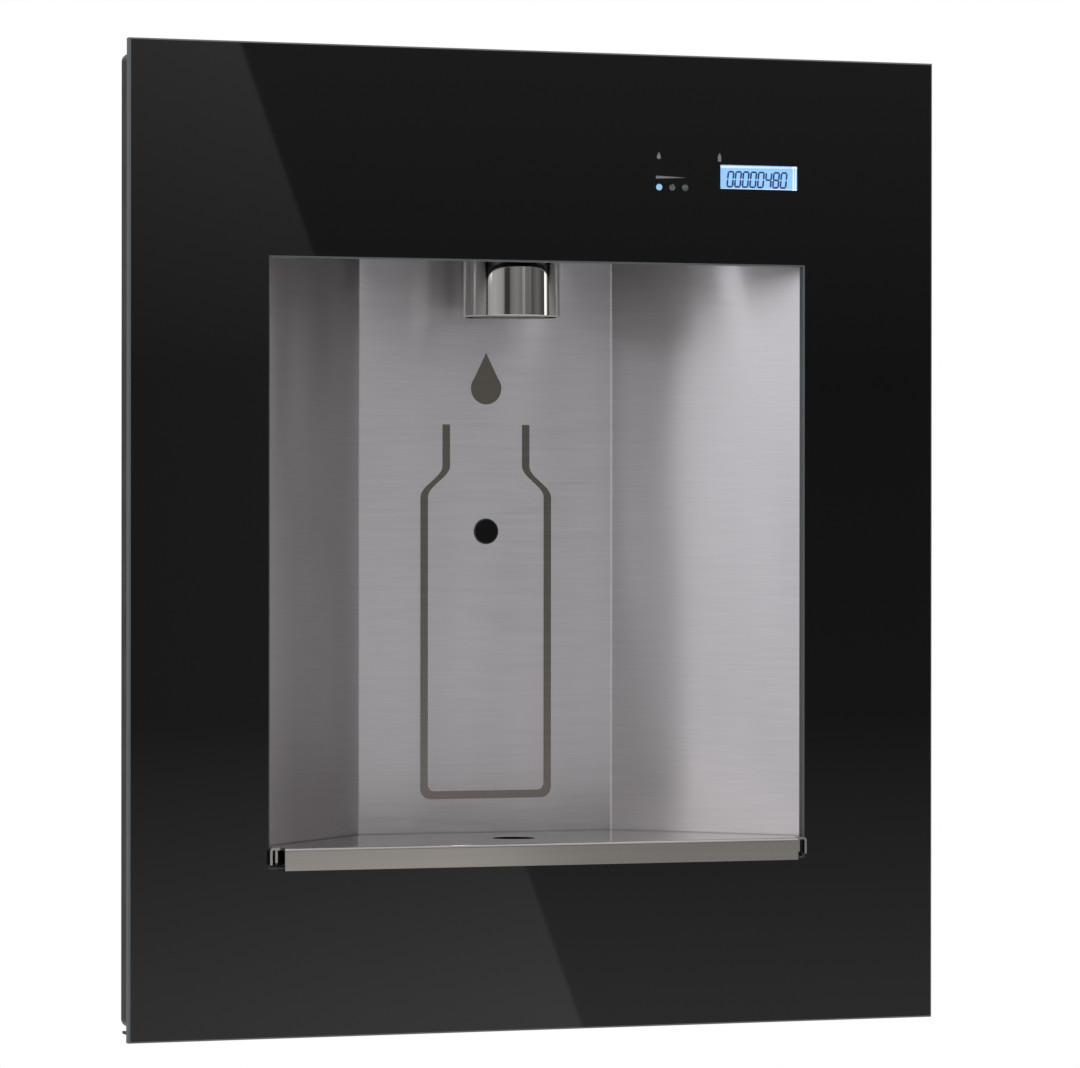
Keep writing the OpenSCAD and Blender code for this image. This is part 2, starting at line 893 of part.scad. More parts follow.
module nozzle_gasket() {
    color("#232323") translate([0, nozzle_y, ceiling_top])
        linear_extrude(nozzle_gasket_t) ring(nozzle_gasket_r, stem_r + loose_fit);
}

module nozzle_nut() {
    nut_z = ceiling_top + nozzle_gasket_t;
    color("#e2e0d8") difference() {
        hex_z(nozzle_nut_r, 0, nozzle_y, nut_z, nut_z + nozzle_nut_t);
        rod_z(stem_r + run_fit, 0, nozzle_y, nut_z - cut, nut_z + nozzle_nut_t + cut);
    }
}

// Elbow on the stem's upper end, with a push-fit socket that faces back
module nozzle_elbow() {
    foot = ceiling_top + nozzle_gasket_t + nozzle_nut_t + nozzle_gasket_t;
    color("#e9e8e4") difference() {
        union() {
            rod_z(elbow_r, 0, nozzle_y, foot, supply_z + elbow_top - stem_r / 2);
            rod_y(socket_r, 0, nozzle_y, nozzle_y + elbow_r + socket_l + socket_reach, supply_z);
        }
        rod_z(stem_r + run_fit, 0, nozzle_y, foot - cut, ceiling_z + stem_top + run_fit);
        rod_z(tube_r - tube_bore, 0, nozzle_y, foot, supply_z);
        rod_y(tube_r - tube_bore, 0, nozzle_y, nozzle_y + elbow_r + socket_l + cut, supply_z);
        rod_y(
            tube_r + run_fit, 0, nozzle_y + elbow_r + socket_reach,
            nozzle_y + elbow_r + socket_l + socket_reach + cut, supply_z
        );
    }
}

module nozzle_tube() {
    color("#dfe6ea") pipe(
        [
            [valve_x - valve_half - socket_reach + loose_fit, supply_y, supply_z],
            [0, supply_y, supply_z],
            [0, nozzle_y + elbow_r + socket_reach + loose_fit, supply_z],
        ],
        bend_r, tube_r, tube_r - tube_bore
    );
}

module sensor_housing() {
    color("#141416") difference() {
        union() {
            rod_y(sensor_r, 0, back_y - sensor_proud, sensor_back, sensor_z);
            rod_y(
                sensor_body_r, 0, back_y + alcove_t + sensor_nut_t + sensor_shoulder,
                sensor_back, sensor_z
            );
            rod_z(gland_r, 0, cable_y, sensor_z, sensor_z + sensor_body_r + gland_l);
        }
        rod_y(
            lens_r + run_fit, 0, back_y - sensor_proud - cut,
            back_y - sensor_proud + lens_sink + lens_t, sensor_z
        );
    }
}

// Slightly domed window of the sensor
module sensor_lens() {
    face = back_y - sensor_proud + lens_sink;
    color("#08080a") translate([0, face + lens_t, sensor_z]) rotate([90, 0, 0])
        rotate_extrude($fn = 64) {
            square([lens_r, lens_t - lens_sink]);
            polygon([[0, 0], [lens_r, 0], [lens_r - 3 * lens_sink, lens_t], [0, lens_t]]);
        }
}

module sensor_nut() {
    seat = back_y + alcove_t;
    color("#2b2b2e") difference() {
        translate([0, seat + sensor_nut_t, sensor_z]) rotate([90, 0, 0])
            cylinder(r = sensor_nut_r, h = sensor_nut_t, $fn = 6);
        rod_y(sensor_r + run_fit, 0, seat - cut, seat + sensor_nut_t + cut, sensor_z);
    }
}

module sensor_cable() {
    start = sensor_z + sensor_body_r + gland_l;
    color("#1d1d1f") pipe(
        [
            [0, cable_y, start], [0, cable_y, supply_z + bend_r / 2],
            [control_x[1], cable_y, supply_z + bend_r / 2],
        ],
        bend_r, cable_r, 0
    );
}

// Inline valve body with its sockets, and the guide tube that the plunger slides in
module solenoid_body() {
    foot = supply_z - valve_block.z / 2;
    color("#c9a95b") difference() {
        union() {
            rod_x(valve_bore_r, valve_x - valve_half, valve_x + valve_half, supply_y, supply_z);
            rod_x(
                socket_r, valve_x - valve_half - socket_l, valve_x + valve_half + socket_l,
                supply_y, supply_z
            );
            translate([valve_x, supply_y, supply_z]) cube(valve_block, center = true);
            rod_z(guide_r, valve_x, supply_y, supply_z, foot + guide_top);
        }
        for (side = [-1, 1])
            translate([valve_x + side * (valve_half + socket_l / 2 - run_fit), supply_y, supply_z])
                rotate([0, 90, 0])
                    cylinder(r = tube_r + run_fit, h = socket_l + 2 * cut, center = true, $fn = 48);
        rod_z(
            plunger_r + run_fit, valve_x, supply_y, foot + plunger_seat, foot + guide_top - guide_cap
        );
    }
}

module solenoid_coil() {
    foot = supply_z + valve_block.z / 2;
    color("#1f3f78") difference() {
        union() {
            translate([valve_x, supply_y, foot + coil_h / 2])
                cube([coil_w, coil_w, coil_h], center = true);
            translate([valve_x - coil_w / 2 - coil_tab / 2, supply_y, foot + coil_h / 2])
                cube([coil_tab, coil_w / 2, coil_tab_h], center = true);
        }
        rod_z(guide_r + run_fit, valve_x, supply_y, foot - cut, foot + coil_h + cut);
    }
}

module solenoid_plunger() {
    seat = supply_z - valve_block.z / 2 + plunger_seat;
    color("#8f9295") {
        rod_z(plunger_r, valve_x, supply_y, seat + plunger_r / 2, seat + plunger_l);
        translate([valve_x, supply_y, seat])
            cylinder(r1 = plunger_r / 2, r2 = plunger_r, h = plunger_r / 2, $fn = 48);
    }
}

// Ring of points of the spring's wire at one step of its helix
function spring_ring(i, z0, rise) = let (a = 360 * i / spring_steps) [
    for (k = [0 : spring_sides - 1]) let (
        b = 360 * k / spring_sides,
        r = spring_r + spring_wire * cos(b)
    ) [
        valve_x + r * cos(a),
        supply_y + r * sin(a),
        z0 + spring_wire + rise * i / (spring_steps * spring_turns) + spring_wire * sin(b),
    ]
];

module plunger_spring() {
    z0 = supply_z - valve_block.z / 2 + plunger_seat + plunger_l + run_fit;
    rise = supply_z - valve_block.z / 2 + guide_top - guide_cap - z0 - 2 * spring_wire - run_fit;
    n = spring_steps * spring_turns;
    points = [for (i = [0 : n]) each spring_ring(i, z0, rise)];
    sides = [
        for (i = [0 : n - 1], k = [0 : spring_sides - 1]) let (
            p = i * spring_sides + k,
            q = i * spring_sides + (k + 1) % spring_sides
        ) each [[p, p + spring_sides, q], [q, p + spring_sides, q + spring_sides]]
    ];
    start = [for (k = [1 : spring_sides - 2]) [0, k, k + 1]];
    tail = n * spring_sides;
    end = [for (k = [1 : spring_sides - 2]) [tail, tail + k + 1, tail + k]];
    color("silver") polyhedron(points, concat(sides, start, end));
}

module solenoid_cable() {
    z = supply_z + valve_block.z / 2 + coil_h / 2;
    color("#1d1d1f") pipe(
        [[valve_x - coil_w / 2 - coil_tab, supply_y, z], [control_x[1], supply_y, z]],
        bend_r, cable_r, 0
    );
}

// Head that the cartridge locks into, with the ports behind it
module filter_head() {
    mouth = head_left;
    right = head_left + head_l;
    top = filter_z + manifold_top;
    color("#e4e6e8") difference() {
        union() {
            rod_x(head_r, mouth, right, filter_y, filter_z);
            block([right - manifold.x, filter_y, top - manifold.z], [right, filter_y + manifold.y, top]);
            rod_x(socket_r, right - manifold.x - socket_l, right - manifold.x + cut, port_y, inlet_run_z);
            rod_z(socket_r, riser_x, supply_y, top - cut, top + socket_l);
        }
        rod_x(neck_r + part_gap, mouth - cut, mouth + neck_l + part_gap, filter_y, filter_z);
        rod_x(
            lug_r + part_gap, mouth + head_mouth, mouth + head_mouth + lug_l + 2 * part_gap,
            filter_y, filter_z
        );
        for (side = [-1, 1])
            translate([mouth + head_mouth / 2, filter_y + side * (neck_r + lug_r) / 2, filter_z])
                cube(
                    [head_mouth + 2 * cut, lug_r - neck_r + 2 * cut, lug_w + 2 * part_gap],
                    center = true
                );
        rod_x(
            tube_r + run_fit, right - manifold.x - socket_l - cut, right - manifold.x,
            port_y, inlet_run_z
        );
        rod_z(tube_r + run_fit, riser_x, supply_y, top, top + socket_l + cut);
    }
}

// Cartridge with a domed end, a grip across it, and a neck with two bayonet lugs
module filter_cartridge() {
    body = filter_left + grip_l + filter_dome;
    color("#f1f2f2") difference() {
        union() {
            translate([filter_left + grip_l, filter_y, filter_z]) rotate([0, 90, 0])
                rotate_extrude($fn = 96) {
                    translate([0, filter_dome]) square([filter_r, head_left - part_gap - body]);
                    square([filter_r - filter_dome, filter_dome + cut]);
                    intersection() {
                        translate([filter_r - filter_dome, filter_dome]) circle(filter_dome, $fn = 64);
                        square([filter_r, filter_dome]);
                    }
                }
            rod_x(neck_r, head_left - part_gap - cut, head_left + neck_l, filter_y, filter_z);
            translate([filter_left + grip_l, filter_y, filter_z])
                cube([2 * grip_l, grip_w, filter_r], center = true);
            for (side = [-1, 1])
                translate([
                    head_left + head_mouth + part_gap + lug_l / 2, filter_y,
                    filter_z + side * (lug_r + neck_r - lug_w / 2) / 2,
                ]) intersection() {
                    cube([lug_l, lug_w, lug_r - neck_r + lug_w / 2], center = true);
                    translate([0, 0, -side * (lug_r + neck_r - lug_w / 2) / 2])
                        rotate([0, 90, 0]) cylinder(r = lug_r, h = lug_l, center = true, $fn = 64);
                }
        }
        for (place = seal_places) translate([head_left + place, filter_y, filter_z])
            rotate([0, 90, 0]) rotate_extrude($fn = 64)
                translate([neck_r, 0]) circle(seal_r + run_fit, $fn = 24);
    }
}

// Two seal rings in the grooves of the cartridge's neck
module cartridge_seals() {
    color("#1a1a1a") for (place = seal_places) translate([head_left + place, filter_y, filter_z])
        rotate([0, 90, 0]) rotate_extrude($fn = 64)
            intersection() {
                translate([neck_r, 0]) circle(seal_r, $fn = 24);
                translate([0, -seal_r]) square([neck_r + part_gap - run_fit, 2 * seal_r]);
            }
}

// Channel that holds the head off the box's side
module filter_bracket() {
    left = head_left + head_l;
    color("#8d9396") {
        block(
            [left, filter_y - bracket_w / 2, filter_z - bracket_w / 2],
            [left + bracket_t, filter_y + bracket_w / 2, filter_z + bracket_w / 2]
        );
        for (z = [filter_z - bracket_w / 2, filter_z + bracket_w / 2 - bracket_t])
            block([left, filter_y - bracket_w / 2, z], [box_in_x, filter_y + bracket_w / 2, z + bracket_t]);
    }
}

// Brass stop valve on the inlet, with the gland that the lever's stem turns in
module isolation_valve() {
    foot = -box_in_z + stop_base;
    ball = foot + stop_z - stop_base;
    color("#c4a55a") difference() {
        union() {
            rod_z(stop_r, inlet_x, inlet_y, foot, foot + stop_h);
            translate([inlet_x, inlet_y, ball]) sphere(stop_ball_r, $fn = 64);
            rod_y(gland_boss_r, inlet_x, inlet_y - gland_boss_l - lever_r, inlet_y, ball);
            rod_z(socket_r, inlet_x, inlet_y, foot, foot + stop_h + socket_reach);
        }
        rod_z(tube_r + run_fit, inlet_x, inlet_y, foot + stop_h, foot + stop_h + socket_reach + cut);
        rod_y(lever_r + run_fit, inlet_x, inlet_y - gland_boss_l - lever_r - cut, inlet_y - lever_r, ball);
    }
}

// Lever and its stem; upright when the valve is open
module valve_lever() {
    ball = -box_in_z + stop_z;
    hub_back = inlet_y - gland_boss_l - lever_r - part_gap;
    hub_front = hub_back - lever_hub_t;
    color("#2f6fb0") {
        rod_y(lever_r, inlet_x, hub_front, inlet_y - lever_r - part_gap, ball);
        rod_y(lever_hub_r, inlet_x, hub_front, hub_back, ball);
        block(
            [inlet_x - lever_w / 2, hub_front, ball],
            [inlet_x + lever_w / 2, hub_front + lever_t, ball + lever_l - lever_w / 2]
        );
        rod_y(lever_w / 2, inlet_x, hub_front, hub_front + lever_t, ball + lever_l - lever_w / 2);
    }
}

// Threaded inlet that passes the box's bottom
module inlet_union() {
    color("#c4a55a") difference() {
        union() {
            hex_z(union_hex_r, inlet_x, inlet_y, -box_in_z, -box_in_z + stop_base);
            rod_z(inlet_r, inlet_x, inlet_y, -box_h / 2 - inlet_drop, -box_in_z + cut);
        }
        rod_z(inlet_r - 2 * tube_bore, inlet_x, inlet_y, -box_h / 2 - inlet_drop - cut, -box_in_z);
        translate([inlet_x, inlet_y, -box_h / 2 - locknut_t - relief_w])
            linear_extrude(relief_w) ring(inlet_r + cut, inlet_r - relief_d);
    }
}

module inlet_locknut() {
    color("#c4a55a") difference() {
        hex_z(locknut_r, inlet_x, inlet_y, -box_h / 2 - locknut_t, -box_h / 2);
        rod_z(inlet_r + run_fit, inlet_x, inlet_y, -box_h / 2 - locknut_t - cut, -box_h / 2 + cut);
    }
}

module inlet_tube() {
    foot = -box_in_z + stop_base + stop_h;
    color("#3f78b5") pipe(
        [
            [inlet_x, inlet_y, foot + loose_fit],
            [inlet_x, inlet_y, inlet_run_z],
            [head_left + head_l - manifold.x - loose_fit, inlet_y, inlet_run_z],
        ],
        bend_r / 2, tube_r, tube_r - tube_bore
    );
}

module riser_tube() {
    color("#dfe6ea") pipe(
        [
            [riser_x, supply_y, filter_z + manifold_top + loose_fit],
            [riser_x, supply_y, supply_z],
            [valve_x + valve_half + loose_fit, supply_y, supply_z],
        ],
        bend_r, tube_r, tube_r - tube_bore
    );
}

// Clips that hold the riser to the box's side
module tube_clips() {
    color("#2a2b2d") for (z = clip_z) difference() {
        union() {
            rod_z(clip_r, riser_x, supply_y, z, z + clip_h);
            block([riser_x, supply_y - clip_r, z], [box_in_x, supply_y + clip_r, z + clip_h]);
        }
        rod_z(tube_r + run_fit, riser_x, supply_y, z - cut, z + clip_h + cut);
    }
}

// Splash-proof box of the electronics, on the wall box's back
module control_box() {
    color("#3a3d40") difference() {
        union() {
            difference() {
                block(
                    [control_x[0], control_y, ceiling_z + control_z[0]],
                    [control_x[1], box_in_y, ceiling_z + control_z[1]]
                );
                block(
                    [control_x[0] + control_t, control_y - cut, ceiling_z + control_z[0] + control_t],
                    [control_x[1] - control_t, box_in_y - control_t, ceiling_z + control_z[1] - control_t]
                );
            }
            control_bosses(boss_r, control_y, box_in_y);
        }
        control_bosses(screw_r - run_fit, control_y - cut, control_y + boss_inset);
    }
}

// Bosses in the corners of the control box
module control_bosses(r, y0, y1) {
    for (x = [control_x[0] + boss_inset, control_x[1] - boss_inset],
         z = [control_z[0] + boss_inset, control_z[1] - boss_inset])
        rod_y(r, x, y0, y1, ceiling_z + z);
}

module control_cover() {
    color("#2d3033") union() {
        block(
            [control_x[0], control_y - control_t, ceiling_z + control_z[0]],
            [control_x[1], control_y, ceiling_z + control_z[1]]
        );
        control_bosses(boss_r, control_y - 2 * control_t, control_y - control_t);
    }
}

// Component on the board, between shares of its width and height
module chip(shares, h, x0, z0, w, l) {
    block(
        [x0 + shares[0] * w, board_y - h, z0 + shares[2] * l],
        [x0 + shares[1] * w, board_y + board_t / 2, z0 + shares[3] * l]
    );
}

// Board on the bosses, with its relay, chip and terminals
module control_board() {
    x0 = control_x[0] + control_t + loose_fit;
    z0 = ceiling_z + control_z[0] + control_t + loose_fit;
    w = control_w - 2 * control_t - 2 * loose_fit;
    l = control_z[1] - control_z[0] - 2 * control_t - 2 * loose_fit;
    color("#1d6b45") difference() {
        union() {
            block([x0, board_y, z0], [x0 + w, board_y + board_t, z0 + l]);
            chip(relay_shares, relay_h, x0, z0, w, l);
            chip(chip_shares, chip_h, x0, z0, w, l);
            chip(terminal_shares, terminal_h, x0, z0, w, l);
        }
        control_bosses(boss_r + run_fit, board_y - cut, board_y + board_t + cut);
    }
}

// Low-voltage supply on the box's floor, with cooling fins
module power_supply() {
    top = -box_in_z + psu_h;
    color("#26282b") {
        block([psu_x[0], psu_y[0], -box_in_z], [psu_x[1], psu_y[1], top - fin_h + fin_t]);
        for (x = [psu_x[0] + fin_pitch : fin_pitch : psu_x[1] - fin_pitch])
            block([x, psu_y[0] + fin_t, top - fin_h], [x + fin_t, psu_y[1] - fin_t, top]);
    }
}

// Grommet for the supply lead, in the box's bottom
module supply_grommet() {
    z0 = -box_h / 2 - grommet_t;
    z1 = -box_in_z + grommet_t;
    color("#1a1a1a") difference() {
        union() {
            rod_z(grommet_body_r - run_fit, grommet_x, grommet_y, z0, z1);
            rod_z(grommet_flange_r, grommet_x, grommet_y, z0, -box_h / 2);
            rod_z(grommet_flange_r, grommet_x, grommet_y, -box_in_z, z1);
        }
        rod_z(grommet_r, grommet_x, grommet_y, z0 - cut, z1 + cut);
    }
}

// Sheet on the upper rail's lip, with the posts that carry the display board
module display_bracket() {
    seat = top_rail_z + rail_h;
    plate_y = display_board_y + board_t + stand_l;
    color("#8d9396") {
        block(
            [display_x[0], plate_y, seat],
            [display_x[1], plate_y + bracket_plate, display_z + display_h / 2]
        );
        block(
            [display_x[0], rail_back, seat],
            [display_x[1], plate_y + bracket_plate, seat + bracket_plate]
        );
        for (x = [display_x[0] + 2 * stand_r, display_x[1] - 2 * stand_r],
             z = [display_z - display_h / 2 + 2 * stand_r, display_z + display_h / 2 - 2 * stand_r])
            rod_y(stand_r, x, display_board_y + board_t, plate_y, z);
    }
}

module display_board() {
    z0 = display_z - display_h / 2;
    color("#1d6b45") {
        block([display_x[0], display_board_y, z0], [display_x[1], display_board_y + board_t, z0 + display_h]);
        block(
            [display_x[0] + stand_l, display_board_y + board_t / 2, display_z - header_h / 2],
            [display_x[0] + 2 * stand_l, display_board_y + board_t + stand_l / 2, display_z + header_h / 2]
        );
    }
}

module lcd_module() {
    w = lcd_w + 2 * lcd_frame;
    h = lcd_h + 2 * lcd_frame;
    color("#8fc4f2") block(
        [lcd_x - w / 2, glass_back + lcd_gap, display_z - h / 2],
        [lcd_x + w / 2, display_board_y, display_z + h / 2]
    );
}

module light_pipes() {
    color("#bfe0f5") for (x = light_x)
        rod_y(light_r, x, glass_back + lcd_gap, display_board_y, light_z);
}

// Flat cable from the display to the control box
module display_ribbon() {
    y = display_board_y + board_t + stand_l / 4;
    turn = ribbon_r + ribbon_t;
    color("#b8bcc0") slab_z(display_z - header_h / 2, display_z + header_h / 2) {
        translate([ribbon_x + turn, y]) square([display_x[0] + stand_l - ribbon_x - turn, ribbon_t]);
        translate([ribbon_x + turn, y + turn]) rotate(180) intersection() {
            ring(turn, ribbon_r);
            square(turn);
        }
        translate([ribbon_x, y + turn]) square([ribbon_t, control_y - control_t - y - turn]);
    }
}

// Outline of the deck: the alcove's plan, the opening between the glass edges, the bar in front
module deck_plan(inset, front) {
    intersection() {
        alcove_plan(-deck_gap - inset, flange_front, back_y - deck_gap - inset);
        translate([-opening_w / 2 + deck_gap + inset, flange_front])
            square([opening_w - 2 * deck_gap - 2 * inset, back_y - flange_front]);
    }
    translate([-opening_w / 2 + deck_gap + inset, front])
        square([opening_w - 2 * deck_gap - 2 * inset, flange_front - front + deck_gap]);
}

// Deck with two creases; its front edge rolls over into the bar, and a rim is pressed round the drain hole
module tray_deck() {
    color("#a5a19c") {
        difference() {
            union() {
                slab_z(deck_z - tray_t, deck_z) deck_plan(0, front_y);
                slab_x(-bar_l / 2, bar_l / 2) {
                    translate([bar_y + bar_r, deck_z - tray_t])
                        square([front_y - bar_y - bar_r + cut, tray_t]);
                    translate([bar_y, deck_z - bar_h]) square([tray_t, bar_h - bar_r]);
                    translate([bar_y, deck_z - bar_h]) square([hem, tray_t]);
                    translate([bar_y + bar_r, deck_z - bar_r]) intersection() {
                        ring(bar_r, bar_r - tray_t);
                        translate([-bar_r, 0]) square(bar_r);
                    }
                }
            }
            rod_z(drain_r + rim_w + run_fit, 0, drain_y, deck_z - tray_t - cut, deck_z + cut);
            for (x = [-crease_x, crease_x])
                translate([x, (back_y + front_y) / 2, deck_z]) rotate([0, 45, 0])
                    cube([crease_d * sqrt(2), back_y - front_y, crease_d * sqrt(2)], center = true);
        }
        translate([0, drain_y, 0]) rotate_extrude($fn = 48) polygon([
            [drain_r, deck_z - rim_d - tray_t], [drain_r + rim_w, deck_z - tray_t],
            [drain_r + rim_w, deck_z], [drain_r, deck_z - rim_d],
        ]);
    }
}

// Front view of an end wing: a sheet that bends down over the glass edge
module wing_shape(edge) {
    translate([edge - wing_w, deck_z - tray_t]) square([wing_w - wing_r, tray_t]);
    translate([edge - tray_t, deck_z - wing_h]) square([tray_t, wing_h - wing_r]);
    translate([edge - wing_r, deck_z - wing_r]) intersection() {
        ring(wing_r, wing_r - tray_t);
        square(wing_r);
    }
}

// Right end wing, with the web that joins it to the pan
module end_wing(edge) {
    slab_y(front_y - wing_reach, front_y - part_gap) wing_shape(edge);
    translate([edge - web_inset - web_w, 0, 0]) {
        slab_z(deck_z - wing_h + wing_step, deck_z - tray_t)
            translate([0, front_y - part_gap - wing_step])
                square([web_w, base_front + part_gap + wing_step - front_y + cut]);
        slab_z(deck_z - wing_h + wing_step, deck_z - tray_t / 2)
            translate([0, front_y - part_gap - wing_step]) square([web_w, wing_step]);
    }
}

// Pan under the deck, with a collar round the drain and an end wing in front of each glass edge
module tray_base() {
    top = deck_z - tray_t;
    edge = opening_w / 2 + wing_lap;
    color("#8f8d8a") {
        difference() {
            union() {
                slab_z(base_z, base_z + tray_t) deck_plan(base_inset, base_front);
                slab_z(base_z, top) difference() {
                    deck_plan(base_inset, base_front);
                    deck_plan(base_inset + tray_t, base_front + tray_t);
                }
                rod_z(drain_r + collar_r, 0, drain_y, base_z, top - rim_d);
            }
            rod_z(drain_r + collar_r / 2, 0, drain_y, base_z - cut, top + cut);
        }
        end_wing(edge);
        mirror([1, 0, 0]) end_wing(edge);
    }
}

module tray_pads() {
    color("#1a1a1a") for (side = [-1, 1], y = pad_y)
        rod_z(pad_r, side * (side_x(y) - pad_inset), y, base_z - pad_t, base_z);
}

// Flanged waste with a crossed strainer, through the basin floor
module waste_fitting() {
    foot = floor_z - alcove_t - waste_tail;
    color("#b9b9ba") {
        difference() {
            union() {
                rod_z(waste_flange_r, 0, drain_y, floor_z, floor_z + waste_flange_t);
                rod_z(waste_tail_r, 0, drain_y, foot, floor_z + waste_flange_t);
            }
            rod_z(waste_tail_bore, 0, drain_y, foot - cut, floor_z + waste_flange_t + cut);
        }
        for (angle = [0, 90]) translate([0, drain_y, floor_z - alcove_t]) rotate([0, 0, angle])
            cube([2 * waste_tail_bore + cut, strainer_w, alcove_t], center = true);
    }
}

module waste_gasket() {
    color("#202020") translate([0, drain_y, floor_z - alcove_t - waste_gasket_t])
        linear_extrude(waste_gasket_t) ring(waste_gasket_r, waste_tail_r + loose_fit);
}

module waste_nut() {
    top = floor_z - alcove_t - waste_gasket_t;
    color("#d9d6c8") difference() {
        hex_z(waste_nut_r, 0, drain_y, top - waste_nut_t, top);
        rod_z(waste_tail_r + run_fit, 0, drain_y, top - waste_nut_t - cut, top + cut);
    }
}

// Waste pipe: down, back, and down again through the box's bottom
module waste_pipe() {
    top = floor_z - alcove_t - waste_gasket_t - waste_nut_t;
    mid = top - waste_bend - waste_gasket_t;
    color("#e8e8e6") pipe(
        [
            [0, drain_y, top], [0, drain_y, mid - waste_wall],
            [0, waste_back_y, mid - waste_wall], [0, waste_back_y, -box_h / 2 - waste_drop],
        ],
        waste_bend, waste_r, waste_r - waste_wall
    );
}

trim_frame();
wall_box();
box_bottom();
cross_rails();
frame_screws();
alcove_liner();
alcove_ceiling();
basin_floor();
fill_marks();
nozzle_shroud();
nozzle_body();
flow_straightener();
nozzle_gasket();
nozzle_nut();
nozzle_elbow();
sensor_housing();
sensor_lens();
sensor_nut();
solenoid_body();
solenoid_coil();
solenoid_plunger();
plunger_spring();
filter_head();
filter_bracket();
filter_cartridge();
cartridge_seals();
isolation_valve();
valve_lever();
inlet_union();
inlet_locknut();
inlet_tube();
riser_tube();
nozzle_tube();
tube_clips();
control_box();
control_cover();
control_board();
power_supply();
supply_grommet();
display_bracket();
display_board();
lcd_module();
light_pipes();
waste_fitting();
waste_gasket();
waste_nut();
waste_pipe();
panel_catches();
security_screws();
sensor_cable();
solenoid_cable();
display_ribbon();
glass_panel();
clear_windows();
panel_carrier();
panel_studs();
opening_gasket();
tray_deck();
tray_base();
tray_pads();
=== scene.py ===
"""Looks of the wall-mounted bottle filling station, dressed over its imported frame.

Every size is in metres in the frame's own axes: +X right, +Y into the wall, +Z up, with the
origin on the wall's face behind the centre of the glass.
"""

from __future__ import annotations

import logging
import math
from dataclasses import dataclass
from enum import Enum
from typing import Any, Iterable, Sequence

import bmesh
import bpy
from mathutils import Matrix, Vector

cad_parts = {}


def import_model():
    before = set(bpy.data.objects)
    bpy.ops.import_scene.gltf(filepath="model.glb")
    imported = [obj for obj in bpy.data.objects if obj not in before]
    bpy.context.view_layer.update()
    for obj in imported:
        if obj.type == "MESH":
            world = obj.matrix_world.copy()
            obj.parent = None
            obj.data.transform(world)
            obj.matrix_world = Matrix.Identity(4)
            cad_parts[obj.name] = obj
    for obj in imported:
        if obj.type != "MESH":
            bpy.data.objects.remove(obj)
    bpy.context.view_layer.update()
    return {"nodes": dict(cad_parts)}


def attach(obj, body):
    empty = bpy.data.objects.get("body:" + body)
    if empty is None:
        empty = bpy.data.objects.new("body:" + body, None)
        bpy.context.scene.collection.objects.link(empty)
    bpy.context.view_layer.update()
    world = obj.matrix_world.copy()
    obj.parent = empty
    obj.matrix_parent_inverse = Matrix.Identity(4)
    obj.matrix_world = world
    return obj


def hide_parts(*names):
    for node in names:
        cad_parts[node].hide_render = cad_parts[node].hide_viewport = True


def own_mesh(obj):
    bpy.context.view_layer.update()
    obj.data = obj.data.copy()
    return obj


LOG = logging.getLogger("filling_station")
MM = 0.001
BLACK = (0.0, 0.0, 0.0, 1.0)
WHITE = (1.0, 1.0, 1.0, 1.0)
Tree = bpy.types.NodeTree
Node = bpy.types.Node
Socket = bpy.types.NodeSocket
Material = bpy.types.Material
Object = bpy.types.Object
Mesh = bmesh.types.BMesh
Point = tuple[float, float, float]
Pair = tuple[float, float]
Stops = tuple[Pair, ...]


class Body(Enum):
    """Bodies of the frame that pieces ride on."""

    WALL = "wall_unit"
    PANEL = "front_panel"
    FILTER = "filter_cartridge_unit"


def linear(code: str) -> tuple[float, float, float, float]:
    """Turn an sRGB hex colour into linear values.

    Args:
        code: six hex digits after a hash.

    Returns:
        Red, green, blue and an alpha of one.
    """
    parts = [int(code[i : i + 2], 16) / 255 for i in (1, 3, 5)]
    red, green, blue = (
        c / 12.92 if c <= 0.04045 else ((c + 0.055) / 1.055) ** 2.4 for c in parts
    )
    return (red, green, blue, 1.0)


def feed(tree: Tree, node: Node, links: dict[Any, Socket]) -> None:
    """Link a node's inputs, by name or number, to the outputs that feed them."""
    for key, socket in links.items():
        tree.links.new(socket, node.inputs[key])


def add_node(
    tree: Tree,
    kind: str,
    settings: dict[Any, Any] | None = None,
    links: dict[Any, Socket] | None = None,
) -> Node:
    """Add a node with its settings and links.

    Args:
        tree: the node tree that takes it.
        kind: the kind of shader node, such as Bump.
        settings: attributes of the node, or input names or numbers, and their values. The key
            "stops" holds a colour ramp's places and grey values.
        links: input names or numbers, and the outputs that feed them.

    Returns:
        The new node.
    """
    node = tree.nodes.new("ShaderNode" + kind)
    for key, value in (settings or {}).items():
        if key == "stops":
            elements = node.color_ramp.elements
            while len(elements) < len(value):
                elements.new(0.5)
            for element, (place, grey) in zip(elements, value):
                element.position = place
                element.color = (grey, grey, grey, 1.0)
        elif isinstance(key, str) and hasattr(node, key):
            setattr(node, key, value)
        else:
            node.inputs[key].default_value = value
    feed(tree, node, links or {})
    return node


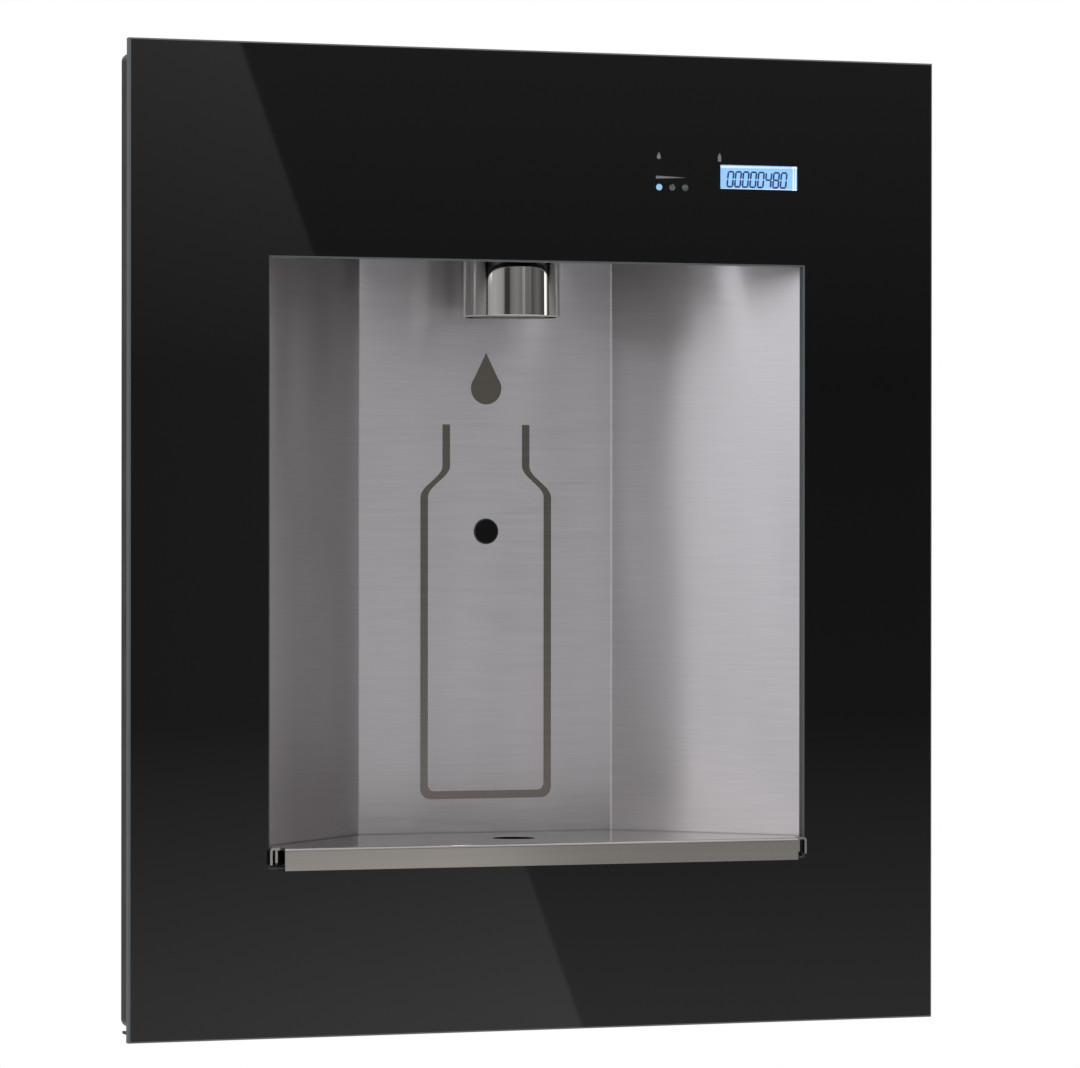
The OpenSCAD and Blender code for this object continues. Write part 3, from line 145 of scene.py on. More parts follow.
@dataclass(frozen=True)
class Finish:
    """A finish: what the material is and how its surface was made.

    Attributes:
        name: the material's name.
        colour: sRGB hex colour.
        roughness: mean roughness.
        metallic: one for a bare metal.
        ior: refractive index of a non-metal.
        grain: size of the surface's grain in millimetres.
        relief: height of the grain in millimetres.
        mottle: how far the colour varies.
        patch: size in millimetres of the soft patches that moulding or plating leaves.
        unevenness: share by which the roughness varies from patch to patch.
    """

    name: str
    colour: str
    roughness: float
    metallic: float = 0.0
    ior: float = 1.5
    grain: float = 0.6
    relief: float = 0.01
    mottle: float = 0.15
    patch: float = 24.0
    unevenness: float = 0.25

    def start(self) -> tuple[Tree, Node, Socket]:
        """Make the material with its main shader.

        Returns:
            The node tree, the shader, and the object coordinates.
        """
        material = bpy.data.materials.new(self.name)
        material.use_nodes = True
        tree = material.node_tree
        shader = tree.nodes["Principled BSDF"]
        shader.inputs["Base Color"].default_value = linear(self.colour)
        shader.inputs["Metallic"].default_value = self.metallic
        shader.inputs["Roughness"].default_value = self.roughness
        if not self.metallic:
            shader.inputs["IOR"].default_value = self.ior
        where = add_node(tree, "TexCoord").outputs["Object"]
        return tree, shader, where

    def shades(self) -> dict[Any, Any]:
        """Return a Mix node's settings from the darkest to the palest shade of the colour."""
        base = linear(self.colour)[:3]
        dark = tuple(c * (1 - self.mottle) for c in base) + (1.0,)
        pale = tuple(min(1.0, c * (1 + self.mottle)) for c in base) + (1.0,)
        return {"data_type": "RGBA", 6: dark, 7: pale}

    def noise(self, tree: Tree, where: Socket, size: float | Point, detail: float = 3.0) -> Socket:
        """Lay out noise whose features have a real size.

        Args:
            tree: the node tree.
            where: coordinates in metres.
            size: feature size in millimetres, one value or one for each axis.
            detail: octaves.

        Returns:
            The noise value.
        """
        sizes = (size, size, size) if isinstance(size, (int, float)) else size
        scale = tuple(1 / (s * MM) for s in sizes)
        spread = add_node(tree, "Mapping", {"Scale": scale}, {"Vector": where}).outputs[0]
        settings = {"Scale": 1.0, "Detail": detail, "Roughness": 0.55}
        return add_node(tree, "TexNoise", settings, {"Vector": spread}).outputs["Fac"]

    def build(self) -> None:
        """Make the material: fine grain, soft mottle and slightly uneven gloss."""
        tree, shader, where = self.start()
        broad = self.noise(tree, where, self.patch)
        fine = self.noise(tree, where, self.grain)
        tint = add_node(tree, "Mix", self.shades(), {0: broad}).outputs[2]
        spread = self.unevenness * self.roughness
        stops = ((0.3, self.roughness - spread), (0.7, self.roughness + spread))
        gloss = add_node(tree, "ValToRGB", {"stops": stops}, {0: broad}).outputs[0]
        rise = {"Strength": 0.4, "Distance": self.relief * MM}
        bump = add_node(tree, "Bump", rise, {"Height": fine}).outputs[0]
        feed(tree, shader, {"Base Color": tint, "Roughness": gloss, "Normal": bump})


class Grain(Enum):
    """How a level grain lies on a piece: the tangent's axis and its quarter turns."""

    UPRIGHT_SHEET = ("Z", 0.25)
    LONG_BAR = ("X", 0.0)


@dataclass(frozen=True)
class BrushedSheet(Finish):
    """Stainless steel sheet with a line grain that runs level.

    A belt's grit leaves lines about 0.05 to 0.1 mm apart, too fine to show in the render, so
    they are drawn 0.4 mm apart.

    Attributes:
        line: spacing of the grain's lines in millimetres.
        stroke: length of a brush stroke in millimetres.
        streak: share by which the roughness varies from stroke to stroke.
        pull: anisotropy, which draws highlights out across the grain.
        wave: height of the sheet's slight waviness in millimetres.
        swell: size in millimetres of one wave of the sheet, along each axis.
        grain_turn: how the grain lies on the piece.
    """

    line: float = 0.4
    stroke: float = 45.0
    streak: float = 0.08
    pull: float = 0.8
    wave: float = 0.0
    swell: Point = (55.0, 55.0, 210.0)
    grain_turn: Grain = Grain.UPRIGHT_SHEET

    def build(self) -> None:
        """Make the material: level brush lines, uneven strokes and a little waviness."""
        tree, shader, where = self.start()
        lines = self.noise(tree, where, (self.stroke, self.stroke, self.line), 2.0)
        # Strokes of the belt run together into streaks twice as wide as a line
        length = 0.7 * self.stroke
        strokes = self.noise(tree, where, (length, length, 2 * self.line), 2.0)
        cloud = self.noise(tree, where, self.swell, 1.0)
        ends = ((0.3, 0.0), (0.7, 1.0))
        share = add_node(tree, "ValToRGB", {"stops": ends}, {0: strokes}).outputs[0]
        tint = add_node(tree, "Mix", self.shades(), {0: share}).outputs[2]
        ends = (
            (0.25, self.roughness * (1 - self.streak)),
            (0.75, self.roughness * (1 + self.streak)),
        )
        gloss = add_node(tree, "ValToRGB", {"stops": ends}, {0: strokes}).outputs[0]
        shader.inputs["Anisotropic"].default_value = self.pull
        axis, turn = self.grain_turn.value
        shader.inputs["Anisotropic Rotation"].default_value = turn
        along = add_node(tree, "Tangent", {"direction_type": "RADIAL", "axis": axis}).outputs[0]
        rise = {"Strength": 0.35, "Distance": self.relief * MM}
        bump = add_node(tree, "Bump", rise, {"Height": lines})
        if self.wave:
            rise = {"Strength": 1.0, "Distance": self.wave * MM}
            sway = add_node(tree, "Bump", rise, {"Height": cloud}).outputs[0]
            feed(tree, bump, {"Normal": sway})
        feed(tree, shader, {"Base Color": tint, "Roughness": gloss, "Tangent": along})
        feed(tree, shader, {"Normal": bump.outputs[0]})


@dataclass(frozen=True)
class PaintedGlass(Finish):
    """Clear glass painted black on its back, with ground edges.

    Attributes:
        edge: sRGB hex colour of the ground edge.
        edge_roughness: roughness of the ground edge.
        facing: normal's share along Y up to which glass is ground, and past which polished.
        drift: size in millimetres of the float glass's faint unevenness.
    """

    edge: str = "#5f6565"
    edge_roughness: float = 0.34
    facing: Pair = (0.93, 0.97)
    drift: float = 60.0

    def build(self) -> None:
        """Make the material: polished faces, and a satin grey where the glass is ground."""
        tree, shader, where = self.start()
        normal = add_node(tree, "NewGeometry").outputs["True Normal"]
        across = add_node(tree, "SeparateXYZ", links={0: normal}).outputs["Y"]
        level = add_node(tree, "Math", {"operation": "ABSOLUTE"}, {0: across}).outputs[0]
        stops = ((self.facing[0], 1.0), (self.facing[1], 0.0))
        ground = add_node(tree, "ValToRGB", {"stops": stops}, {0: level}).outputs[0]
        colours = {"data_type": "RGBA", 6: linear(self.colour), 7: linear(self.edge)}
        tint = add_node(tree, "Mix", colours, {0: ground}).outputs[2]
        stops = ((0.0, self.roughness), (1.0, self.edge_roughness))
        gloss = add_node(tree, "ValToRGB", {"stops": stops}, {0: ground}).outputs[0]
        rise = {"Strength": 0.05, "Distance": self.relief * MM}
        height = {"Height": self.noise(tree, where, self.drift, 1.0)}
        bump = add_node(tree, "Bump", rise, height).outputs[0]
        feed(tree, shader, {"Base Color": tint, "Roughness": gloss, "Normal": bump})


@dataclass(frozen=True)
class ClearGlass(Finish):
    """Clear polished glass or acrylic that light passes through.

    Attributes:
        drift: size in millimetres of the drawn surface's faint unevenness.
    """

    drift: float = 4.0

    def build(self) -> None:
        """Make the material, with the faintest unevenness of a drawn surface."""
        tree, shader, where = self.start()
        shader.inputs["Transmission Weight"].default_value = 1.0
        rise = {"Strength": 0.04, "Distance": self.relief * MM}
        height = {"Height": self.noise(tree, where, self.drift, 1.0)}
        feed(tree, shader, {"Normal": add_node(tree, "Bump", rise, height).outputs[0]})


@dataclass(frozen=True)
class LitPanel(Finish):
    """Backlit plastic: the counter's light guide or a status light.

    Attributes:
        glow: emission strength at the middle.
        dim: share of the glow that is left at the edges.
        cloud: size in millimetres of the backlight's brighter and darker patches.
        unlit: sRGB hex colour past the lit part, or empty where all of it is lit.
        lit_to: the X up to which it is lit, in metres.
    """

    glow: float = 1.0
    dim: float = 0.8
    cloud: float = 14.0
    unlit: str = ""
    lit_to: float = 1.0

    def build(self) -> None:
        """Make the material: emission with a slightly uneven backlight."""
        tree, shader, where = self.start()
        broad = self.noise(tree, where, self.cloud, 1.0)
        stops = ((0.2, self.glow * self.dim), (0.8, self.glow))
        strength = add_node(tree, "ValToRGB", {"stops": stops}, {0: broad}).outputs[0]
        lit_colour = linear(self.colour)
        if self.unlit:
            across = add_node(tree, "SeparateXYZ", links={0: where}).outputs["X"]
            step = {"operation": "GREATER_THAN", 1: self.lit_to}
            past = add_node(tree, "Math", step, {0: across}).outputs[0]
            colours = {"data_type": "RGBA", 6: lit_colour, 7: linear(self.unlit)}
            tint = add_node(tree, "Mix", colours, {0: past}).outputs[2]
            feed(tree, shader, {"Base Color": tint})
            less = {"operation": "SUBTRACT", 0: 1.0, "use_clamp": True}
            lit = add_node(tree, "Math", less, {1: past}).outputs[0]
            both = {0: strength, 1: lit}
            strength = add_node(tree, "Math", {"operation": "MULTIPLY"}, both).outputs[0]
        shader.inputs["Emission Color"].default_value = lit_colour
        feed(tree, shader, {"Emission Strength": strength})


# Moulded grain of about 0.1 mm is drawn at 0.4 mm and up, so that it shows
FINISHES: dict[str, Finish] = {
    # Float glass painted on its back: a deep black mirror with crisp reflections
    "black_glass": PaintedGlass("Back_painted_float_glass", "#040405", 0.018, ior=1.52),
    # Cast acrylic, polished: shows what lies behind it, with a soft sheen
    "clear_window": ClearGlass("Polished_clear_acrylic", "#f4fbff", 0.02, ior=1.49),
    # 304 stainless sheet, line grained: draws reflections into soft upright bands
    "stainless": BrushedSheet(
        "Line_grained_304_stainless", "#d8d6d6", 0.31, 1.0, mottle=0.035,
        relief=0.0035, wave=1.6,
    ),
    # The same sheet, darkened to paint the alcove's shade onto the ceiling: the walls' top mirrors
    # it as a dark band
    "soffit": BrushedSheet("Painted_shade_304_soffit", "#6d6a68", 0.4, 1.0, mottle=0.03, relief=0.004),
    # The tray's steel is finer grained, so its edges catch crisper lines; its colour is darker and
    # warmer than the walls' sheet, which paints shade on the bar and deck
    "tray_steel": BrushedSheet(
        "Satin_304_stainless_tray", "#bdb7b1", 0.1, 1.0, mottle=0.03, relief=0.002,
        stroke=90.0, pull=0.05, grain_turn=Grain.LONG_BAR,
    ),
    # Etched mark, smoother than the grain round it: reads as a flat grey
    "mark": BrushedSheet(
        "Etched_steel_mark", "#9c958d", 0.20, 1.0, mottle=0.03, relief=0.002, pull=0.2
    ),
    # Bright chrome plate on brass: mirror-like, the least roughness of the metals
    "chrome": Finish(
        "Bright_chrome_plate", "#dad7d3", 0.035, 1.0, grain=8.0, relief=0.002,
        mottle=0.01,
    ),
    # Powder coat: an even black with a fine orange peel
    "powder_coat": Finish("Black_powder_coated_steel", "#141516", 0.42, grain=0.5, relief=0.02),
    # Hot-dip zinc: pale, slightly blotchy, half matt
    "zinc": Finish("Galvanised_sheet", "#a9adaf", 0.42, 0.9, grain=3.0, mottle=0.12),
    # Electroplated zinc: a brighter, cleaner grey than the sheet's
    "screw": Finish("Zinc_plated_screw_steel", "#b6b4ae", 0.30, 1.0, mottle=0.08),
    # ABS, moulded with a fine spark texture: takes the shine off the black
    "black_abs": Finish("Moulded_black_ABS", "#17181a", 0.5, ior=1.54, grain=0.4, relief=0.02),
    "grey_abs": Finish("Moulded_grey_ABS", "#4c4f52", 0.48, ior=1.54, grain=0.4, relief=0.02),
    # Natural nylon: ivory, slightly waxy
    "nylon": Finish("Natural_nylon", "#d8d3c3", 0.45, ior=1.53, grain=0.8),
    # Acetal, moulded: a denser, glossier white than the polypropylene beside it
    "acetal": Finish("White_acetal", "#e6e6e2", 0.35, ior=1.48, grain=1.0),
    "polypropylene": Finish("White_polypropylene", "#ececea", 0.38, ior=1.49, grain=1.2),
    # The sensor's window: dyed acrylic, black to the eye
    "lens": Finish("Dyed_infrared_acrylic", "#050506", 0.12, ior=1.49, grain=6.0, relief=0.002),
    # Backlit polariser film: an even pale blue field behind the digits
    "lcd": LitPanel("Backlit_counter_film", "#9ac8f4", 0.35, glow=0.80, dim=0.9),
    # Acrylic light guides: the first glows pale blue, the others stay grey
    "light": LitPanel(
        "Status_light_guide", "#a6d4f4", 0.3, glow=0.85, unlit="#a4a6a8", lit_to=0.0655
    ),
    # Light past the film's edges: near white lines round the field
    "backlight": LitPanel("Counter_light_leak", "#e4effa", 0.35, glow=0.85, dim=1.0),
    # Liquid crystal: a soft dark blue against the lit film
    "ink": Finish("Liquid_crystal_segment", "#21489a", 0.4, grain=2.0, relief=0.001),
    # Screen print on glass: flat grey with no shine of its own
    "print": Finish("Grey_screen_print", "#8a8a8a", 0.5, relief=0.002),
    # Solder mask over glass fibre: a wet-looking green
    "board": Finish("Solder_masked_fibreglass", "#135c39", 0.32, ior=1.55, grain=1.0),
    # Brass, machined: a warm metal with crisp edges
    "brass": Finish("Machined_brass", "#c8a559", 0.26, 1.0, grain=0.7, mottle=0.06),
    # Epoxy moulded round the winding: dull dark blue
    "coil": Finish("Moulded_blue_coil", "#1c3d74", 0.42, ior=1.55, grain=0.5, relief=0.02),
    # Vinyl, dipped on: thick, rounded and softly glossy
    "lever": Finish("Vinyl_dipped_lever", "#2a66a6", 0.35, ior=1.52, grain=1.5),
    # Polyethylene, extruded: milky when natural, even when dyed
    "tube": Finish("Natural_polyethylene_tube", "#dce4e8", 0.34, ior=1.51, grain=2.0),
    "tube_blue": Finish("Blue_polyethylene_tube", "#3a74b2", 0.34, ior=1.51, grain=2.0),
    # EPDM, moulded: a matt black that drinks light
    "rubber": Finish("Black_EPDM_rubber", "#161616", 0.68, ior=1.52, grain=0.5, relief=0.02),
    # PVC jackets, extruded: smooth, half matt
    "cable": Finish("Black_PVC_jacket", "#161618", 0.45, ior=1.54, grain=1.0),
    "ribbon": Finish("Grey_ribbon_jacket", "#aeb2b6", 0.45, ior=1.54),
}


def new_object(name: str, mesh: Mesh, material: Material) -> Object:
    """Turn a bmesh into an object of the scene.

    Args:
        name: its name.
        mesh: its faces, in the frame.
        material: its material.

    Returns:
        The new object.
    """
    data = bpy.data.meshes.new(name)
    mesh.to_mesh(data)
    mesh.free()
    data.materials.append(material)
    made = bpy.data.objects.new(name, data)
    bpy.context.collection.objects.link(made)
    return made


@dataclass
class SubAssembly:
    """Pieces that are built together.

    Attributes:
        materials: the station's materials by finish.
    """

    materials: dict[str, Material]

    def piece(self, name: str, mesh: Mesh, finish: str, body: Body, slot: str) -> Object:
        """Turn a bmesh into a piece that rides on a body.

        Args:
            name: the piece's name.
            mesh: its faces, in the frame.
            finish: its finish.
            body: the body it rides on.
            slot: the record's material slot; not used.

        Returns:
            The new object.
        """
        bmesh.ops.recalc_face_normals(mesh, faces=mesh.faces)
        made = new_object(name, mesh, self.materials[finish])
        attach(made, body.value)
        LOG.info("%s: %d faces on %s", name, len(made.data.polygons), body.value)
        return made


def prism(mesh: Mesh, outline: Sequence[Pair], front: float, back: float) -> None:
    """Add a closed prism along Y from an outline in X and Z.

    Args:
        mesh: the bmesh that takes it.
        outline: corners in order, in metres.
        front: Y of the front face.
        back: Y of the back face.
    """
    near = [mesh.verts.new((x, front, z)) for x, z in outline]
    far = [mesh.verts.new((x, back, z)) for x, z in outline]
    mesh.faces.new(near)
    mesh.faces.new(far[::-1])
    count = len(outline)
    for i in range(count):
        j = (i + 1) % count
        mesh.faces.new((near[i], far[i], far[j], near[j]))


def tube(
    mesh: Mesh,
    path: Sequence[Vector],
    radius: float,
    sides: int = 8,
    closed: bool = False,
) -> None:
    """Sweep a round tube along a path.

    Args:
        mesh: the bmesh that takes it.
        path: points of its centre line.
        radius: its radius.
        sides: corners of its section.
        closed: whether it joins up with its start.
    """
    rings = []
    side = (path[1] - path[0]).orthogonal()
    count = len(path)
    turns = [2 * math.pi * k / sides for k in range(sides)]
    for i, point in enumerate(path):
        after = path[(i + 1) % count] if closed or i < count - 1 else point
        before = path[i - 1] if closed or i else point
        run = (after - before).normalized()
        side = (side - run * side.dot(run)).normalized()
        up = run.cross(side)
        spots = [point + radius * (math.cos(a) * side + math.sin(a) * up) for a in turns]
        rings.append([mesh.verts.new(spot) for spot in spots])
    for i in range(count if closed else count - 1):
        one, two = rings[i], rings[(i + 1) % count]
        for k in range(sides):
            j = (k + 1) % sides
            mesh.faces.new((one[k], one[j], two[j], two[k]))
    if not closed:
        mesh.faces.new(rings[0][::-1])
        mesh.faces.new(rings[-1])


def turned(mesh: Mesh, middle: Point, axis: int, profile: Sequence[Pair], sides: int = 48) -> None:
    """Revolve a closed profile about an axis of the frame.

    Args:
        mesh: the bmesh that takes it.
        middle: a point on the axis.
        axis: 0, 1 or 2 for X, Y or Z.
        profile: radius and place along the axis of each corner of the section, in order.
        sides: how many steps go round.
    """
    first, second = [k for k in range(3) if k != axis]
    rings = []
    for s in range(sides):
        angle = 2 * math.pi * s / sides
        ring = []
        for radius, place in profile:
            spot = list(middle)
            spot[axis] += place
            spot[first] += radius * math.cos(angle)
            spot[second] += radius * math.sin(angle)
            ring.append(mesh.verts.new(spot))
        rings.append(ring)
    for s in range(sides):
        one, two = rings[s], rings[(s + 1) % sides]
        for i in range(len(profile)):
            j = (i + 1) % len(profile)
            mesh.faces.new((one[i], two[i], two[j], one[j]))


def coil(
    middle: Point,
    axis: int,
    radius: float,
    rise: float = 0.0,
    turns: float = 1.0,
    count: int = 40,
) -> list[Vector]:
    """Find the points of a helix, or of a closed circle where it doesn't rise.

    Args:
        middle: the middle of its start.
        axis: 0, 1 or 2 for the axis it winds about.
        radius: its radius.
        rise: how far it rises along the axis.
        turns: how many turns.
        count: how many steps.

    Returns:
        The points in order.
    """
    first, second = [k for k in range(3) if k != axis]
    points = []
    for i in range(count + 1 if rise else count):
        angle = 2 * math.pi * turns * i / count
        spot = list(middle)
        spot[first] += radius * math.cos(angle)
        spot[second] += radius * math.sin(angle)
        spot[axis] += rise * i / count
        points.append(Vector(spot))
    return points


@dataclass
class ReturnSpring(SubAssembly):
    """The solenoid's return spring, which shortens as the plunger lifts.

    Attributes:
        axis: X and Y of its axis.
        low: Z of its lower end.
        high: Z of its upper end.
        coil_r: radius of its turns.
        wire_r: radius of its wire.
        turns: how many turns.
        turn_steps: steps in each turn.
        stroke: how far it shortens, a little more than the plunger lifts; not used.
    """

    axis: Pair = (100.0 * MM, 60.0 * MM)
    low: float = 203.45 * MM
    high: float = 212.55 * MM
    coil_r: float = 3.05 * MM
    wire_r: float = 0.33 * MM
    turns: float = 7.0
    turn_steps: int = 24
    stroke: float = 3.2 * MM

    def build(self) -> None:
        """Wind the spring and put it in place of the frame's plunger spring."""
        mesh = bmesh.new()
        steps = int(self.turn_steps * self.turns)
        start = (*self.axis, self.low)
        path = coil(start, 2, self.coil_r, self.high - self.low, self.turns, steps)
        tube(mesh, path, self.wire_r)
        spring = self.piece("return_spring", mesh, "screw", Body.WALL, "screw_steel")
        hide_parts("plunger_spring")
        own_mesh(spring)


# Segments that each digit lights, a to f clockwise from the top and g across the middle
SEGMENTS: dict[str, str] = {
    "0": "abcdef", "1": "bc", "2": "abged", "3": "abgcd", "4": "fgbc",
    "5": "afgcd", "6": "afgecd", "7": "abc", "8": "abcdefg", "9": "abcdfg",
}


@dataclass
class CounterDisplay(SubAssembly):
    """The lit counter behind its window.

    Attributes:
        digits: what the counter shows.
        middle: X and Z of the digits' middle.
        pitch: spacing of the digits.
        width: width of one digit.
        height: height of a digit.
        stroke: width of a segment.
        gap: gap between a segment and the next.
        slant: lean of the digits, X per Z.
        window: X of the window's sides, then Z of its foot and its top.
        leak_top: height of the stray light at the window's top, at its left and right.
        leak_side: its width down the right side.
        leak_foot: its height at the foot, at its left and right.
        thick: how far the digits stand off the face.
        face: Y of the counter's front face.
    """

    digits: str = "00000480"
    middle: Pair = (0.1170, 0.1829)
    pitch: float = 4.15 * MM
    width: float = 2.9 * MM
    height: float = 7.6 * MM
    stroke: float = 0.9 * MM
    gap: float = 0.12 * MM
    slant: float = 0.10
    window: tuple[float, ...] = (95.9 * MM, 137.3 * MM, 177.9 * MM, 189.6 * MM)
    leak_top: Pair = (1.1 * MM, 0.5 * MM)
    leak_side: float = 0.8 * MM
    leak_foot: Pair = (0.4 * MM, 0.5 * MM)
    thick: float = 0.08 * MM
    face: float = -28.2 * MM

    def bar(self, left: float, low: float, right: float, high: float) -> list[Pair]:
        """Outline one segment with pointed ends.

        Args:
            left: X of the start, from the digit's middle.
            low: Z of the start.
            right: X of the end.
            high: Z of the end.

        Returns:
            Corners, leaning with the digit.
        """
        half = self.stroke / 2
        if abs(right - left) > abs(high - low):
            raw = [
                (left, low), (left + half, low - half), (right - half, low - half),
                (right, low), (right - half, low + half), (left + half, low + half),
            ]
        else:
            raw = [
                (left, low), (left + half, low + half), (left + half, high - half),
                (left, high), (left - half, high - half), (left - half, low + half),
            ]
        return [(x + self.slant * z, z) for x, z in raw]

    def build(self) -> None:
        """Make the digits and the stray light round them."""
        w, h, gap = self.width / 2, self.height / 2, self.gap
        places = {
            "a": (-w, h, w, h), "d": (-w, -h, w, -h), "g": (-w, 0.0, w, 0.0),
            "f": (-w, gap, -w, h - gap), "b": (w, gap, w, h - gap),
            "e": (-w, -h + gap, -w, -gap), "c": (w, -h + gap, w, -gap),
        }
        mesh = bmesh.new()
        first = -(len(self.digits) - 1) / 2
        for i, digit in enumerate(self.digits):
            x0 = self.middle[0] + (first + i) * self.pitch
            for name in SEGMENTS[digit]:
                outline = [(x0 + x, self.middle[1] + z) for x, z in self.bar(*places[name])]
                prism(mesh, outline, self.face - self.thick, self.face)
        self.piece("counter_digits", mesh, "ink", Body.WALL, "lens_black")
        mesh = bmesh.new()
        left, right, low, high = self.window
        top, foot, inner = self.leak_top, self.leak_foot, right - self.leak_side
        for outline in (
            [(left, high - top[0]), (right, high - top[1]), (right, high), (left, high)],
            [(inner, low), (right, low), (right, high), (inner, high)],
            [(left, low), (right, low), (right, low + foot[1]), (left, low + foot[0])],
        ):
            prism(mesh, outline, self.face - self.thick / 2, self.face)
        self.piece("counter_light_leak", mesh, "backlight", Body.WALL, "lit_panel")


@dataclass
class GlassPrint(SubAssembly):
    """Signs screen printed on the glass: a level wedge over the lights and two small pictures.

    Attributes:
        front: Y of the glass's front face.
        film: thickness of the print.
        wedge: X of its broad end, X of its tip, Z of its middle and its height.
        drop: X and Z of the drop's middle, and its radius.
        drop_tip: height of the drop's tip over its middle, in radii.
        bottle: X and Z of the bottle's middle, and its height.
        bottle_half: right half of the bottle's outline, as shares of its height.
    """

    front: float = -33.5 * MM
    film: float = 0.06 * MM
    wedge: tuple[float, ...] = (60.9 * MM, 77.1 * MM, 182.8 * MM, 1.5 * MM)
    drop: tuple[float, ...] = (62.4 * MM, 193.0 * MM, 1.1 * MM)
    drop_tip: float = 2.4
    bottle: tuple[float, ...] = (95.2 * MM, 193.4 * MM, 4.0 * MM)
    bottle_half: Stops = (
        (0.0, 0.5), (0.11, 0.5), (0.11, 0.3), (0.22, 0.16), (0.22, -0.44), (0.17, -0.5),
        (0.0, -0.5),
    )

    def build(self) -> None:
        """Print the three signs."""
        start, tip, level, height = self.wedge
        wedge = [(start, level - height / 2), (tip, level), (start, level + height / 2)]
        x, z, radius = self.drop
        arc = [math.radians(a) for a in range(150, 391, 20)]
        drop = [(x + radius * math.cos(a), z + radius * math.sin(a)) for a in arc]
        drop.append((x, z + self.drop_tip * radius))
        x, z, height = self.bottle
        ring = list(self.bottle_half) + [(-a, b) for a, b in self.bottle_half[-2:0:-1]]
        bottle = [(x + a * height, z + b * height) for a, b in ring]
        mesh = bmesh.new()
        for outline in (wedge, drop, bottle):
            prism(mesh, outline, self.front - self.film, self.front)
        self.piece("glass_signs", mesh, "print", Body.PANEL, "mark_foil")


@dataclass
class BoxDetails(SubAssembly):
    """What the press and the turret punch left on the wall box, and its screws' heads.

    Attributes:
        side: X of the box's outer side faces.
        back: Y of its outer back face.
        bead_z: Z of the back's stiffening beads.
        bead_half: half the length of a bead.
        bead_r: radius of its section.
        bead_rise: how far it stands off the back.
        knockouts: Y, Z and radius of each side's knock-outs.
        back_knockouts: X of the back's knock-outs.
        back_r: their radius.
        inner: share of a side knock-out's radius that its inner ring has.
        score: radius of a knock-out's scored edge.
        screw_x: X of the frame screws, on either side.
        screw_z: Z of the frame screws.
        head_y: Y of their heads' seat.
        dome: radius and height of each corner of a head's section, in millimetres.
    """

    side: float = 181.0 * MM
    back: float = 88.0 * MM
    bead_z: tuple[float, ...] = (-150.0 * MM, -75.0 * MM, 75.0 * MM, 150.0 * MM)
    bead_half: float = 120.0 * MM
    bead_r: float = 4.5 * MM
    bead_rise: float = 2.4 * MM
    knockouts: tuple[Point, ...] = (
        (62.0 * MM, 196.0 * MM, 11.0 * MM), (62.0 * MM, 0.0, 11.0 * MM),
        (62.0 * MM, -196.0 * MM, 14.0 * MM),
    )
    back_knockouts: tuple[float, ...] = (-105.0 * MM, 0.0, 105.0 * MM)
    back_r: float = 14.0 * MM
    inner: float = 0.62
    score: float = 0.45 * MM
    screw_x: float = 185.0 * MM
    screw_z: tuple[float, ...] = (-180.2 * MM, 0.0, 180.2 * MM)
    head_y: float = -4.5 * MM
    dome: Stops = ((1.2, 0.4), (3.2, 0.4), (3.2, 0.0), (2.9, -0.5), (2.1, -0.9), (1.2, -1.05))

    def build(self) -> None:
        """Press the beads and knock-outs and dome the screws' heads."""
        mesh = bmesh.new()
        depth = self.back + self.bead_rise - self.bead_r
        for z in self.bead_z:
            path = [Vector((i * self.bead_half / 12, depth, z)) for i in range(-12, 13)]
            tube(mesh, path, self.bead_r, sides=24)
        self.piece("box_back_beads", mesh, "zinc", Body.WALL, "galvanised")
        mesh = bmesh.new()
        for x in (-self.side, self.side):
            for y, z, radius in self.knockouts:
                for ring_r in (radius, self.inner * radius):
                    tube(mesh, coil((x, y, z), 0, ring_r), self.score, closed=True)
        for x in self.back_knockouts:
            tube(mesh, coil((x, self.back, 0.0), 1, self.back_r), self.score, closed=True)
        self.piece("box_knockouts", mesh, "zinc", Body.WALL, "galvanised")
        mesh = bmesh.new()
        section = [(r * MM, s * MM) for r, s in self.dome]
        for x in (-self.screw_x, self.screw_x):
            for z in self.screw_z:
                turned(mesh, (x, self.head_y, z), 1, section)
        self.piece("screw_heads", mesh, "screw", Body.WALL, "screw_steel")


